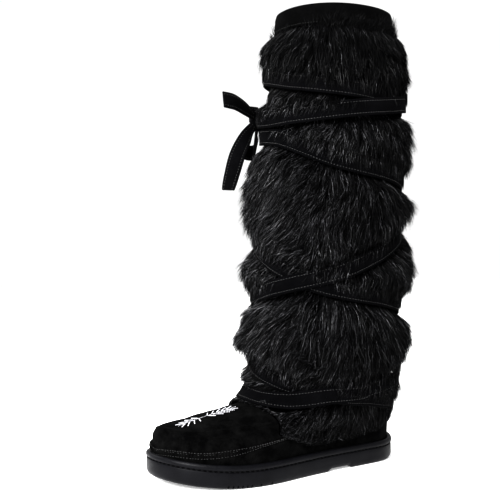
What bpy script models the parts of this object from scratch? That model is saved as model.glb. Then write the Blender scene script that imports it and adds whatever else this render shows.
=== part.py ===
"""Tall fur mukluk boot for the left foot, empty and standing on its sole.

Metres. The toe points along -Y, the little-toe side is +X and the floor is z = 0. The origin is the
point on the floor under the middle of the shaft, inside the heel's flat tread.

Every piece of the foot and shaft is cut from one surface, skin_point(angle, level): angle runs round
the shaft in degrees, 0 at the toe, 90 on the little-toe side and 180 at the heel, and level climbs
from 0 at the sole to RIDGE at the top of the side wall, ANKLE at the instep and COLLAR at the rim.
"""

from bisect import bisect_right
from collections import namedtuple
from math import cos, hypot, pi, radians, sin

import bmesh
import bpy
from mathutils import Vector
from mathutils.kdtree import KDTree

# Main sizes of the boot
SOLE_LENGTH = 0.270
BALL_WIDTH = 0.1085
HEEL_SHARE = 0.235  # of the sole's length, behind the shaft's axis
BOOT_HEIGHT = 0.4575
COLLAR_WIDTH = 0.1095
COLLAR_DEPTH = 0.1185
ANKLE_HEIGHT = 0.083
VAMP_HEIGHT = 0.0445  # top of the side wall above the floor at the ball
SECTION_POWER = 0.94  # under 1 squares the shaft's oval a little

# Outsole
SOLE_THICKNESS = 0.0215
CUP_DEPTH = 0.0045
CUP_LIP = 0.0040
SOLE_ROUND = 0.0035
STITCH_GROOVE_HEIGHT = 0.0150
STITCH_GROOVE_WIDTH = 0.0012
STITCH_GROOVE_DEPTH = 0.0011
TOE_SPRING = 0.0080
TOE_SPRING_START = 0.70  # share of the length, from the heel
HEEL_LIFT = 0.0030
HEEL_LIFT_END = 0.07
WAIST_LIFT = 0.0024
WAIST_START = 0.28
WAIST_END = 0.37
WAIST_RAMP = 0.012
LUG_PITCH = 0.0135
LUG_GROOVE_WIDTH = 0.0042
LUG_GROOVE_DEPTH = 0.0034
LUG_MARGIN = 0.0075  # plain rim left between the grooves and the sole's edge

# Walls and gaps
GAP = 0.0003
UPPER_WALL = 0.0032
PANEL_THICKNESS = 0.0014
BAND_THICKNESS = 0.0014
BAND_GAP = 0.002  # in levels of the skin, from the fur's top to the cuff
INSOLE_THICKNESS = 0.0050

# Fur
FUR_CLEARANCE = 0.0015
FUR_UNDER_STRAP = 0.0050
FUR_TOP = 4.945
LOCK_ROWS = 3
LOCK_STEPS = 2
LOCK_RELIEF = 0.42  # share of the fur's depth lost at a lock's root
LOCK_DROOP = 0.0035
PINCH_REACH = 0.018  # how far from a strap the fur is back to full depth

# Wrap straps and their bow
STRAP_WIDTH = 0.0165
STRAP_THICKNESS = 0.0020
STRAP_STANDOFF = 0.0085
STRAP_LIFT = 0.0038
STRAP_TILT = 0.65  # how much of the instep's slope the straps follow
KNOT_ANGLE = -40
KNOT_HEIGHT = 0.769  # share of the boot's height, where the wraps end
KNOT_LENGTH = 0.0150
KNOT_DEPTH = 0.0085
KNOT_TALL = 0.0200
KNOT_GAP = 0.0005  # from the knot to the loops and ends on each side
KNOT_DENT = 0.022
KNOT_DENT_END = 0.050

# Beads
BEAD_HEIGHT = 0.0014
BEAD_GAP = 0.0007
SPRAY_SIDE = 0.0015  # how far the spray lies to the big-toe side
STEM_WIDTH = 0.0012
LEAF_WIDTH = 0.0019

# Levels of the skin
RIDGE = 3.0
ANKLE = 4.0
COLLAR = 5.0

# How finely the round forms are cut
SOLE_STEPS = 76
SKIN_STEPS = 40
FUR_STEPS = 48
FUR_ROWS = 36
EDGE_STEPS = 12

SoleStation = namedtuple("SoleStation", "share medial lateral")
SOLE_OUTLINE = (  # share of the length from the heel, widths as shares of half the ball width
    SoleStation(0.012, 0.34, 0.34),
    SoleStation(0.045, 0.57, 0.57),
    SoleStation(0.110, 0.73, 0.73),
    SoleStation(0.220, 0.78, 0.78),
    SoleStation(0.360, 0.76, 0.82),
    SoleStation(0.500, 0.80, 0.90),
    SoleStation(0.620, 0.92, 0.99),
    SoleStation(0.720, 1.01, 0.99),
    SoleStation(0.820, 1.01, 0.89),
    SoleStation(0.900, 0.92, 0.69),
    SoleStation(0.955, 0.73, 0.44),
    SoleStation(0.988, 0.47, 0.16),
)
TOE_TIP_MEDIAL = 0.15  # the toe's tip lies this far to the big-toe side, in half ball widths

AngleStation = namedtuple("AngleStation", "angle way")
EDGE_WAY = (  # where a line of the skin starts on the sole: way along its edge from toe to heel
    AngleStation(0, 0.0),
    AngleStation(20, 0.17),
    AngleStation(40, 0.34),
    AngleStation(65, 0.54),
    AngleStation(90, 0.71),
    AngleStation(130, 0.86),
    AngleStation(180, 1.0),
)

WallRow = namedtuple("WallRow", "level inset rise")
WALL_ROWS = (  # inset from the sole's edge in metres, rise as a share of the wall's height
    WallRow(0.0, 0.0065, 0.0),
    WallRow(1.0, 0.0060, 0.34),
    WallRow(2.0, 0.0057, 0.68),
    WallRow(3.0, 0.0088, 1.0),
)

RidgeRow = namedtuple("RidgeRow", "angle height inset crest")
RIDGE_ROWS = (  # shares of the vamp height, extra inset in metres, crest as a share of RIDGE_CREST
    RidgeRow(0, 0.95, 0.0005, 1.0),
    RidgeRow(25, 0.95, 0.0005, 0.8),
    RidgeRow(50, 0.99, 0.0, 0.25),
    RidgeRow(90, 1.12, -0.0030, 0.0),
    RidgeRow(180, 1.25, -0.0020, 0.0),
)
RIDGE_CREST = 0.0022
CREST_FADE = 0.10  # share of the vamp's length over which the crest dies out

RiseRow = namedtuple("RiseRow", "way rise")
VAMP_RISE = (  # the top of the foot, from the toe's ridge to the ankle
    RiseRow(0.0, 0.0),
    RiseRow(0.07, 0.06),
    RiseRow(0.27, 0.21),
    RiseRow(0.45, 0.32),
    RiseRow(0.67, 0.44),
    RiseRow(0.77, 0.51),
    RiseRow(0.90, 0.70),
    RiseRow(1.0, 1.0),
)

ShaftSection = namedtuple("ShaftSection", "climb side front back")
SHAFT_SECTIONS = (  # climb from the ankle to the rim, half sizes as shares of the collar's
    ShaftSection(0.00, 0.98, 1.42, 0.88),
    ShaftSection(0.06, 1.01, 1.41, 0.88),
    ShaftSection(0.16, 1.06, 1.36, 0.89),
    ShaftSection(0.30, 1.11, 1.29, 0.91),
    ShaftSection(0.46, 1.13, 1.22, 0.93),
    ShaftSection(0.60, 1.12, 1.16, 0.95),
    ShaftSection(0.74, 1.08, 1.09, 0.975),
    ShaftSection(0.86, 1.04, 1.04, 0.99),
    ShaftSection(1.00, 1.00, 1.00, 1.00),
)

WALL_LEVELS = (0.0, 1.0, 2.0, 2.6)
VAMP_LEVELS = (3.0, 3.12, 3.36, 3.64, 3.86)
SHAFT_LEVELS = (4.0, 4.12, 4.28, 4.46, 4.64, 4.82, 4.94, 5.0)
FUR_INSIDE_LEVELS = (2.0, 2.6, 3.0, 3.12, 3.36, 3.64, 4.0, 4.12, 4.28, 4.46, 4.64)
INSIDE_LEVELS = (0.0, 1.5, 2.6, 3.0, 3.35, 3.75, 4.0, 4.15, 4.5, 5.0)

EdgeRow = namedtuple("EdgeRow", "angle level")
RAND_TOP = (  # upper edge of the suede strip above the sole, rising to a counter round the heel
    EdgeRow(0, 0.95),
    EdgeRow(20, 1.25),
    EdgeRow(30, 1.70),
    EdgeRow(40, 2.10),
    EdgeRow(50, 2.32),
    EdgeRow(60, 2.05),
    EdgeRow(70, 1.80),
    EdgeRow(90, 1.85),
    EdgeRow(120, 2.10),
    EdgeRow(150, 2.90),
    EdgeRow(180, 3.20),
)
FUR_FOOT = (  # lower edge of the fur
    EdgeRow(0, 3.82),
    EdgeRow(18, 3.79),
    EdgeRow(32, 3.66),
    EdgeRow(43, 3.40),
    EdgeRow(50, 3.05),
    EdgeRow(57, 2.45),
    EdgeRow(65, 2.12),
    EdgeRow(75, 2.05),
    EdgeRow(90, 2.05),
    EdgeRow(120, 2.35),
    EdgeRow(150, 3.10),
    EdgeRow(180, 3.35),
)

DepthRow = namedtuple("DepthRow", "climb depth")
FUR_DEPTH = (  # metres, by share of the way up the fur
    DepthRow(0.0, 0.0110),
    DepthRow(0.05, 0.0210),
    DepthRow(0.15, 0.0300),
    DepthRow(0.50, 0.0310),
    DepthRow(0.70, 0.0285),
    DepthRow(0.85, 0.0245),
    DepthRow(0.97, 0.0190),
    DepthRow(1.0, 0.0070),
)

WrapRow = namedtuple("WrapRow", "turn height")
RISING_WRAP = (  # degrees round the boot from the toe towards the little-toe side, share of the height
    WrapRow(-95, 0.144),
    WrapRow(-60, 0.151),
    WrapRow(-30, 0.155),
    WrapRow(0, 0.152),
    WrapRow(17, 0.147),
    WrapRow(30, 0.147),
    WrapRow(45, 0.158),
    WrapRow(60, 0.169),
    WrapRow(90, 0.182),
    WrapRow(120, 0.194),
    WrapRow(150, 0.212),
    WrapRow(210, 0.263),
    WrapRow(330, 0.363),
    WrapRow(360, 0.383),
    WrapRow(389, 0.404),
    WrapRow(425, 0.433),
    WrapRow(470, 0.490),
    WrapRow(580, 0.625),
    WrapRow(640, 0.705),
    WrapRow(677, 0.768),
)
FALLING_WRAP = (  # the other way round, from the little-toe side over the instep
    WrapRow(-128, 0.143),
    WrapRow(-96, 0.159),
    WrapRow(-60, 0.172),
    WrapRow(-45, 0.178),
    WrapRow(-30, 0.189),
    WrapRow(-15, 0.202),
    WrapRow(0, 0.213),
    WrapRow(30, 0.231),
    WrapRow(140, 0.306),
    WrapRow(259, 0.369),
    WrapRow(312, 0.400),
    WrapRow(344, 0.435),
    WrapRow(390, 0.490),
    WrapRow(500, 0.573),
    WrapRow(607, 0.634),
    WrapRow(660, 0.662),
    WrapRow(711, 0.713),
    WrapRow(753, 0.728),
    WrapRow(860, 0.764),
    WrapRow(969, 0.802),
    WrapRow(1055, 0.831),
    WrapRow(1113, 0.861),
    WrapRow(1220, 0.836),
    WrapRow(1329, 0.788),
    WrapRow(1392, 0.765),
    WrapRow(1440, 0.757),
    WrapRow(1477, 0.768),
)

RibbonRow = namedtuple("RibbonRow", "way along out up lean width")
UPPER_LOOP = (  # strap widths from the knot's side and from its back, lean in degrees, width as a share
    RibbonRow(0.0, 0.00, 0.08, 0.30, 0, 0.52),
    RibbonRow(0.22, -1.09, 0.28, 0.55, 5, 1.0),
    RibbonRow(0.42, -2.30, 0.35, 0.79, 8, 1.0),
    RibbonRow(0.5, -2.73, 0.59, 0.91, 8, 1.0),
    RibbonRow(0.58, -2.36, 0.89, 0.91, 8, 1.0),
    RibbonRow(0.78, -1.15, 0.89, 0.67, 5, 1.0),
    RibbonRow(1.0, 0.00, 0.44, 0.30, 0, 0.52),
)
LOWER_LOOP = (
    RibbonRow(0.0, 0.00, 0.08, -0.30, 0, 0.52),
    RibbonRow(0.22, -1.09, 0.38, -0.91, -6, 1.0),
    RibbonRow(0.42, -2.36, 0.56, -1.45, -12, 1.0),
    RibbonRow(0.5, -2.91, 0.92, -1.64, -12, 1.0),
    RibbonRow(0.58, -2.48, 1.35, -1.58, -12, 1.0),
    RibbonRow(0.78, -1.21, 1.22, -0.97, -6, 1.0),
    RibbonRow(1.0, 0.00, 0.44, -0.30, 0, 0.52),
)
UPPER_END = (
    RibbonRow(0.0, 0.00, 0.19, 0.30, 0, 0.52),
    RibbonRow(0.35, 1.09, 0.59, 0.64, 6, 0.9),
    RibbonRow(0.7, 2.18, 1.01, 0.85, 10, 1.0),
    RibbonRow(1.0, 2.91, 1.53, 0.91, 14, 1.0),
)
LOWER_END = (
    RibbonRow(0.0, 0.08, 0.19, -0.30, 0, 0.52),
    RibbonRow(0.25, 0.85, 0.56, -1.15, 25, 0.85),
    RibbonRow(0.5, 1.45, 0.98, -2.24, 75, 1.0),
    RibbonRow(0.75, 1.70, 1.28, -3.39, 120, 1.0),
    RibbonRow(1.0, 1.94, 1.53, -4.48, 150, 1.0),
)

LeafRow = namedtuple("LeafRow", "back reach sweep")
LEAF_ROWS = (  # each pair of leaves, in vamp lengths behind the toe's ridge, and its tip's reach and sweep
    LeafRow(0.181, 0.035, -0.060),
    LeafRow(0.225, 0.055, -0.063),
    LeafRow(0.269, 0.062, -0.049),
    LeafRow(0.313, 0.058, -0.031),
    LeafRow(0.406, 0.051, 0.031),
    LeafRow(0.451, 0.063, 0.053),
    LeafRow(0.497, 0.065, 0.071),
    LeafRow(0.543, 0.058, 0.079),
    LeafRow(0.589, 0.044, 0.079),
)
STEM_FRONT = 0.132
STEM_BACK = 0.688

RUBBER = ("sole_rubber", (0.022, 0.022, 0.026, 1.0), 0.55)
SUEDE = ("black_suede", (0.008, 0.008, 0.009, 1.0), 0.95)
FUR = ("black_fur", (0.006, 0.006, 0.007, 1.0), 0.75)
STRAP = ("strap_suede", (0.007, 0.007, 0.008, 1.0), 0.9)
BEADS = ("white_beads", (0.82, 0.82, 0.84, 1.0), 0.3)
FLEECE = ("footbed_fleece", (0.02, 0.02, 0.022, 1.0), 1.0)


def smooth(rows, column, at):
    """A column's value at a place on the table's first column, on a smooth curve through its rows."""
    places = [row[0] for row in rows]
    values = [getattr(row, column) for row in rows]
    at = min(max(at, places[0]), places[-1])
    i = min(max(bisect_right(places, at) - 1, 0), len(rows) - 2)

    def slope(k):
        low, high = max(k - 1, 0), min(k + 1, len(rows) - 1)
        return (values[high] - values[low]) / (places[high] - places[low])

    span = places[i + 1] - places[i]
    t = (at - places[i]) / span
    start = values[i] * (1 + 2 * t) * (1 - t) ** 2 + slope(i) * span * t * (1 - t) ** 2
    end = values[i + 1] * t * t * (3 - 2 * t) - slope(i + 1) * span * t * t * (1 - t)
    return start + end


def ease(at, low, high):
    """0 before low, 1 after high, and a soft step between."""
    t = min(max((at - low) / (high - low), 0.0), 1.0)
    return t * t * (3 - 2 * t)


def sole_share(y):
    """Where y lies on the sole: 0 at its back, 1 at its toe."""
    return HEEL_SHARE - y / SOLE_LENGTH


def sole_y(share):
    return (HEEL_SHARE - share) * SOLE_LENGTH


def spring(y):
    """How far the sole curls up from the floor at its toe and at the back of its heel."""
    share = sole_share(y)
    toe = max(share - TOE_SPRING_START, 0.0) / (1 - TOE_SPRING_START)
    heel = max(HEEL_LIFT_END - share, 0.0) / HEEL_LIFT_END
    return TOE_SPRING * toe * toe + HEEL_LIFT * heel * heel


def waist(y):
    """The tread's lift between heel and forefoot."""
    share = sole_share(y)
    rise = ease(share, WAIST_START - WAIST_RAMP, WAIST_START)
    fall = ease(share, WAIST_END, WAIST_END + WAIST_RAMP)
    return WAIST_LIFT * rise * (1 - fall)


def sole_loop():
    """Closed outline of the sole as close points, from the toe along the little-toe side and back."""
    half = BALL_WIDTH / 2
    lateral = [(row.lateral * half, sole_y(row.share)) for row in SOLE_OUTLINE]
    medial = [(-row.medial * half, sole_y(row.share)) for row in SOLE_OUTLINE]
    toe = (-TOE_TIP_MEDIAL * half, sole_y(1.0))
    heel = (0.0, sole_y(0.0))
    knots = [Vector(p) for p in [toe, *reversed(lateral), heel, *medial]]
    points = []
    for i, start in enumerate(knots):
        before, end = knots[i - 1], knots[(i + 1) % len(knots)]
        after = knots[(i + 2) % len(knots)]
        reach = (end - start).length
        out = (end - before).normalized() * reach
        into = (after - start).normalized() * reach
        for k in range(EDGE_STEPS):
            t = k / EDGE_STEPS
            points.append(
                start * (1 + 2 * t) * (1 - t) ** 2
                + out * t * (1 - t) ** 2
                + end * t * t * (3 - 2 * t)
                - into * t * t * (1 - t)
            )
    return points, EDGE_STEPS * (len(SOLE_OUTLINE) + 1)


LOOP, HEEL_AT = sole_loop()
LOOP_WAY = [0.0]
for _i in range(len(LOOP)):
    LOOP_WAY.append(LOOP_WAY[-1] + (LOOP[(_i + 1) % len(LOOP)] - LOOP[_i]).length)
HEEL_WAY, LOOP_LENGTH = LOOP_WAY[HEEL_AT], LOOP_WAY[-1]


def on_loop(way):
    way %= LOOP_LENGTH
    i = min(bisect_right(LOOP_WAY, way) - 1, len(LOOP) - 1)
    t = (way - LOOP_WAY[i]) / (LOOP_WAY[i + 1] - LOOP_WAY[i])
    return LOOP[i].lerp(LOOP[(i + 1) % len(LOOP)], t)


def edge_point(angle, inset):
    """Point in plan on the sole's edge, moved inwards by inset."""
    angle = (angle + 180) % 360 - 180
    way = smooth(EDGE_WAY, "way", abs(angle))
    at = way * HEEL_WAY if angle >= 0 else LOOP_LENGTH - way * (LOOP_LENGTH - HEEL_WAY)
    probe = LOOP_LENGTH / 150
    along = (on_loop(at + probe) - on_loop(at - probe)).normalized()
    return on_loop(at) + Vector((-along.y, along.x)) * inset


def wall_point(angle, level):
    """The upper's side wall, from the sole at level 0 to the ridge."""
    turn = abs((angle + 180) % 360 - 180)
    share = ease(level, 2.0, RIDGE)
    inset = smooth(WALL_ROWS, "inset", level) + smooth(RIDGE_ROWS, "inset", turn) * share
    top = VAMP_HEIGHT * smooth(RIDGE_ROWS, "height", turn)
    low = SOLE_THICKNESS - CUP_DEPTH + GAP
    x, y = edge_point(angle, inset)
    crest = RIDGE_CREST * smooth(RIDGE_ROWS, "crest", turn) * share
    z = low + (top - low) * smooth(WALL_ROWS, "rise", level) + crest
    return Vector((x, y, z + spring(y)))


def shaft_point(angle, climb):
    """The shaft, from the ankle at climb 0 to the rim at 1."""
    turn = radians(angle)
    side = smooth(SHAFT_SECTIONS, "side", climb) * COLLAR_WIDTH / 2
    end = "front" if cos(turn) >= 0 else "back"
    depth = smooth(SHAFT_SECTIONS, end, climb) * COLLAR_DEPTH / 2
    x = side * abs(sin(turn)) ** SECTION_POWER * (1 if sin(turn) >= 0 else -1)
    y = -depth * abs(cos(turn)) ** SECTION_POWER * (1 if cos(turn) >= 0 else -1)
    return Vector((x, y, ANKLE_HEIGHT + (BOOT_HEIGHT - ANKLE_HEIGHT) * climb))


def vamp_point(angle, way):
    """The top of the foot, from the ridge at way 0 to the ankle at 1."""
    turn = abs((angle + 180) % 360 - 180)
    start, end = wall_point(angle, RIDGE), shaft_point(angle, 0.0)
    crest = RIDGE_CREST * smooth(RIDGE_ROWS, "crest", turn)
    front = 1 - ease(turn, 35, 85)
    rise = front * smooth(VAMP_RISE, "rise", way) + (1 - front) * way
    place = start.lerp(end, way)
    base = start.z - crest
    fade = 1 - ease(way, 0.0, CREST_FADE)
    place.z = base + (end.z - base) * rise + crest * fade
    return place


def skin_point(angle, level):
    """The upper's outer surface."""
    if level <= RIDGE:
        return wall_point(angle, level)
    if level <= ANKLE:
        return vamp_point(angle, level - RIDGE)
    return shaft_point(angle, level - ANKLE)


def skin_normal(angle, level):
    turn, step = 2.0, 0.03
    low, high = max(level - step, 0.0), min(level + step, COLLAR)
    round_it = skin_point(angle + turn, level) - skin_point(angle - turn, level)
    return round_it.cross(skin_point(angle, high) - skin_point(angle, low)).normalized()


def shell_point(angle, level, offset):
    return skin_point(angle, level) + skin_normal(angle, level) * offset


def material(look):
    name, colour, roughness = look
    made = bpy.data.materials.get(name)
    if made:
        return made
    made = bpy.data.materials.new(name)
    made.use_nodes = True
    made.diffuse_color = colour
    shader = made.node_tree.nodes["Principled BSDF"]
    shader.inputs["Base Color"].default_value = colour
    shader.inputs["Roughness"].default_value = roughness
    return made


def clear_scene():
    for old in list(bpy.data.objects):
        bpy.data.objects.remove(old)


def collection(name):
    made = bpy.data.collections.new(name)
    bpy.context.scene.collection.children.link(made)
    return made


def add_object(name, bm, look, group):
    bmesh.ops.recalc_face_normals(bm, faces=bm.faces)
    mesh = bpy.data.meshes.new(name)
    bm.to_mesh(mesh)
    bm.free()
    made = bpy.data.objects.new(name, mesh)
    made.data.materials.append(material(look))
    group.objects.link(made)
    return made


def loft(bm, rings, wrap=False):
    """Joins rings of equal count with quads and returns their vertices. wrap closes the last ring to
    the first."""
    made = [[bm.verts.new(p) for p in ring] for ring in rings]
    pairs = list(zip(made, made[1:]))
    if wrap:
        pairs.append((made[-1], made[0]))
    for low, high in pairs:
        for i in range(len(low)):
            k = (i + 1) % len(low)
            bm.faces.new((low[i], low[k], high[k], high[i]))
    return made


def ladder_cap(bm, ring):
    """Closes a ring that is symmetric in its order with rungs from one side to the other."""
    half = len(ring) // 2
    for i in range(half):
        left, right = (ring[i], ring[i + 1]), (ring[-i - 1], ring[-i] if i else ring[0])
        corners = [left[0], left[1], right[0], right[1]]
        face = []
        for vert in corners:
            if vert not in face:
                face.append(vert)
        bm.faces.new(face)


def sole_ring(inset, height, lift, steps=SOLE_STEPS):
    ring = []
    for i in range(steps):
        x, y = edge_point(360 * i / steps, inset)
        ring.append(Vector((x, y, height + lift(y))))
    return ring


def build_outsole(group, helpers):
    """Cup sole: treaded bottom, stitch groove round the side and a lip round the upper."""
    groove_top = STITCH_GROOVE_HEIGHT + STITCH_GROOVE_WIDTH

    def tread(y):
        return spring(y) + waist(y)

    rings = [
        sole_ring(SOLE_ROUND, 0.0, tread),
        sole_ring(SOLE_ROUND * 0.25, SOLE_ROUND * 0.6, tread),
        sole_ring(0.0, SOLE_ROUND * 1.8, spring),
        sole_ring(0.0004, STITCH_GROOVE_HEIGHT - 0.0006, spring),
        sole_ring(STITCH_GROOVE_DEPTH, STITCH_GROOVE_HEIGHT, spring),
        sole_ring(STITCH_GROOVE_DEPTH, groove_top, spring),
        sole_ring(-0.0004, groove_top + 0.0006, spring),
        sole_ring(0.0004, SOLE_THICKNESS - 0.0010, spring),
        sole_ring(CUP_LIP * 0.4, SOLE_THICKNESS, spring),
        sole_ring(CUP_LIP, SOLE_THICKNESS - 0.0008, spring),
        sole_ring(CUP_LIP, SOLE_THICKNESS - CUP_DEPTH, spring),
    ]
    bm = bmesh.new()
    made = loft(bm, rings)
    ladder_cap(bm, made[0])
    ladder_cap(bm, made[-1])
    sole = add_object("outsole", bm, RUBBER, group)
    cut_lugs(sole, helpers)
    return sole


def lug_stations():
    """The y of each groove across the tread, heel first. The origin stays in the middle of a lug."""
    heel = [LUG_PITCH * (k - 0.5) for k in range(0, 4)]
    front = sole_y(WAIST_END + WAIST_RAMP) - LUG_PITCH
    count = int((front - sole_y(1.0)) / LUG_PITCH)
    return heel + [front - LUG_PITCH * k for k in range(count)]


def cut_lugs(sole, helpers):
    """Cuts grooves across the tread."""
    bm = bmesh.new()
    for y in lug_stations():
        box = bmesh.ops.create_cube(bm, size=1.0)["verts"]
        depth = LUG_GROOVE_DEPTH * 3
        medial, lateral = [
            smooth(SOLE_OUTLINE, side, sole_share(y)) * BALL_WIDTH / 2 - LUG_MARGIN
            for side in ("medial", "lateral")
        ]
        size = Vector((medial + lateral, LUG_GROOVE_WIDTH, depth))
        bmesh.ops.scale(bm, verts=box, vec=size)
        middle = (lateral - medial) / 2
        top = spring(y) + LUG_GROOVE_DEPTH
        bmesh.ops.translate(bm, verts=box, vec=Vector((middle, y, top - depth / 2)))
    cutter = add_object("lug_cutter", bm, RUBBER, helpers)
    cutter.hide_render = True
    cutter.display_type = "WIRE"
    cut = sole.modifiers.new("tread", "BOOLEAN")
    cut.operation = "DIFFERENCE"
    cut.object = cutter


def build_insole(group):
    """Fleece footbed inside the upper, on the floor of the sole's cup."""
    inset = WALL_ROWS[0].inset + UPPER_WALL + GAP
    low = SOLE_THICKNESS - CUP_DEPTH + GAP
    rings = [
        sole_ring(inset, low, spring, SKIN_STEPS),
        sole_ring(inset, low + INSOLE_THICKNESS * 0.8, spring, SKIN_STEPS),
        sole_ring(inset + 0.002, low + INSOLE_THICKNESS, spring, SKIN_STEPS),
    ]
    bm = bmesh.new()
    made = loft(bm, rings)
    ladder_cap(bm, made[0])
    ladder_cap(bm, made[-1])
    return add_object("insole", bm, FLEECE, group)


def skin_angles():
    return [360 * i / SKIN_STEPS for i in range(SKIN_STEPS)]


def shell(name, outside, inside, inner, outer, look, group):
    """Closed wall between two offsets of the skin. outside(angle) and inside(angle) list the levels of
    its two faces at that angle."""
    columns = []
    for angle in skin_angles():
        out = [shell_point(angle, level, outer) for level in outside(angle)]
        back = [shell_point(angle, level, inner) for level in reversed(inside(angle))]
        columns.append(out + back)
    bm = bmesh.new()
    loft(bm, [list(ring) for ring in zip(*columns)], wrap=True)
    return add_object(name, bm, look, group)


def build_upper(group):
    """Foot and shaft as one hollow solid, open at the collar and over the sole."""
    levels = WALL_LEVELS + VAMP_LEVELS + SHAFT_LEVELS
    return shell("upper", lambda a: levels, lambda a: INSIDE_LEVELS, -UPPER_WALL, 0.0, SUEDE, group)


def edge_level(rows, angle):
    return smooth(rows, "level", abs((angle + 180) % 360 - 180))


def build_rand(group):
    """Suede strip round the foot above the sole, rising to a counter at the heel."""

    def levels(angle):
        top = edge_level(RAND_TOP, angle)
        return [top * share for share in (0.02, 0.4, 0.8, 1.0)]

    def inside(angle):
        top = edge_level(RAND_TOP, angle)
        return [top * share for share in (0.02, 0.25, 0.5, 0.75, 1.0)]

    inner = GAP + 0.0001
    return shell("suede_rand", levels, inside, inner, inner + PANEL_THICKNESS, SUEDE, group)


def build_band(group):
    """Suede cuff round the rim."""
    ends = (FUR_TOP + BAND_GAP, COLLAR)
    levels = (ends[0], sum(ends) / 2, ends[1])
    outer = GAP + BAND_THICKNESS
    return shell("collar_band", lambda a: levels, lambda a: ends, GAP, outer, SUEDE, group)


def level_at(angle, height):
    """The skin's level above the ridge where it reaches a height."""
    low, high = RIDGE, COLLAR
    for _ in range(16):
        middle = (low + high) / 2
        if skin_point(angle, middle).z < height:
            low = middle
        else:
            high = middle
    return (low + high) / 2


def wrap_line(rows, way, step):
    """Angle, point on the skin and skin normal at even steps along a wrap. way is 1 or -1."""
    count = round((rows[-1].turn - rows[0].turn) / step)
    line = []
    for i in range(count + 1):
        turn = rows[0].turn + (rows[-1].turn - rows[0].turn) * i / count
        angle = way * turn
        level = level_at(angle, smooth(rows, "height", turn) * BOOT_HEIGHT)
        normal = skin_normal(angle, level)
        normal.z *= STRAP_TILT
        line.append((turn, skin_point(angle, level), normal.normalized()))
    return line


def near(tree, point):
    return tree.find(point)[2] if tree else 1.0


def tree_of(points):
    tree = KDTree(len(points))
    for i, point in enumerate(points):
        tree.insert(point, i)
    tree.balance()
    return tree


def lifts_over(line, others, own):
    """How far each point of a wrap rises to clear the wraps under it. others lists (line, lifts) pairs.
    With own set the wrap also rises over its own earlier turns."""
    lifts = []
    for turn, point, _ in line:
        under = [
            (other[1], lift)
            for other_line, other_lifts in others
            for other, lift in zip(other_line, other_lifts)
        ]
        if own:
            under += [(line[k][1], lifts[k]) for k in range(len(lifts)) if turn - line[k][0] > 180]
        rise = 0.0
        for place, lift in under:
            apart = (place - point).length
            close = 1 - ease(apart, STRAP_WIDTH * 1.2, STRAP_WIDTH * 2.1)
            rise = max(rise, (lift + STRAP_LIFT) * close)
        lifts.append(rise)
    return lifts


def plate(name, cells, place, low, high, look, group):
    """Thin solid over a net of cells. place(key, offset) gives the point of a cell's corner."""
    bm = bmesh.new()
    keys = sorted({key for cell in cells for key in cell})
    under = {key: bm.verts.new(place(key, low)) for key in keys}
    over = {key: bm.verts.new(place(key, high)) for key in keys}
    edges = set()
    for cell in cells:
        bm.faces.new([over[key] for key in cell])
        bm.faces.new([under[key] for key in reversed(cell)])
        edges.update(zip(cell, cell[1:] + cell[:1]))
    for start, end in edges:
        if (end, start) not in edges:
            bm.faces.new((over[end], over[start], under[start], under[end]))
    return add_object(name, bm, look, group)


def ribbon(name, points, normals, shares, group):
    """Flat strap along points, with its inner face on them. shares are its widths' shares of full."""
    last = len(points) - 1

    def place(key, offset):
        i, side = key
        along = points[min(i + 1, last)] - points[max(i - 1, 0)]
        across = normals[i].cross(along).normalized()
        up = along.cross(across).normalized()
        return points[i] + across * (side * shares[i] * STRAP_WIDTH / 2) + up * offset

    cells = [[(i, -1), (i, 1), (i + 1, 1), (i + 1, -1)] for i in range(last)]
    return plate(name, cells, place, 0.0, STRAP_THICKNESS, STRAP, group)


def knot_frame():
    """Point on the skin under the knot, and the ways along the strap, outwards and up."""
    level = level_at(KNOT_ANGLE, KNOT_HEIGHT * BOOT_HEIGHT)
    out = skin_normal(KNOT_ANGLE, level)
    out = Vector((out.x, out.y, 0)).normalized()
    up = Vector((0, 0, 1))
    return skin_point(KNOT_ANGLE, level), up.cross(out), out, up


def build_bow(group):
    """Knot, two loops and two free ends of the straps' bow."""
    middle, along, out, up = knot_frame()
    middle = middle + out * STRAP_LIFT
    low = STRAP_STANDOFF + STRAP_THICKNESS + GAP

    def strand(name, rows, count, side):
        points, normals, shares = [], [], []
        for i in range(count + 1):
            way = i / count
            here = [smooth(rows, part, way) * STRAP_WIDTH for part in ("along", "out", "up")]
            points.append(
                middle
                + along * (side * (KNOT_LENGTH / 2 + KNOT_GAP) + here[0])
                + out * (low + here[1])
                + up * here[2]
            )
            shares.append(smooth(rows, "width", way))
        for i in range(count + 1):
            ahead = points[min(i + 1, count)] - points[max(i - 1, 0)]
            lean = radians(smooth(rows, "lean", i / count))
            across = up * cos(lean) + out * sin(lean)
            normals.append(ahead.cross(across).normalized() * side)
        ribbon(name, points, normals, shares, group)

    strand("bow_loop_upper", UPPER_LOOP, 12, -1)
    strand("bow_loop_lower", LOWER_LOOP, 12, -1)
    strand("strap_end_upper", UPPER_END, 6, 1)
    strand("strap_end_lower", LOWER_END, 9, 1)
    rings = []
    for share, swell in ((0.0, 0.62), (0.25, 0.95), (0.5, 1.0), (0.75, 0.95), (1.0, 0.62)):
        ring = []
        for k in range(10):
            turn = 2 * pi * k / 10
            outwards = low + KNOT_DEPTH / 2 + KNOT_DEPTH / 2 * swell * cos(turn)
            point = middle + along * (KNOT_LENGTH * swell / 2 * sin(turn)) + out * outwards
            ring.append(point + up * (KNOT_TALL * (share - 0.5)))
        rings.append(ring)
    bm = bmesh.new()
    made = loft(bm, rings)
    bm.faces.new(made[0])
    bm.faces.new(made[-1])
    add_object("bow_knot", bm, STRAP, group)


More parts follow.
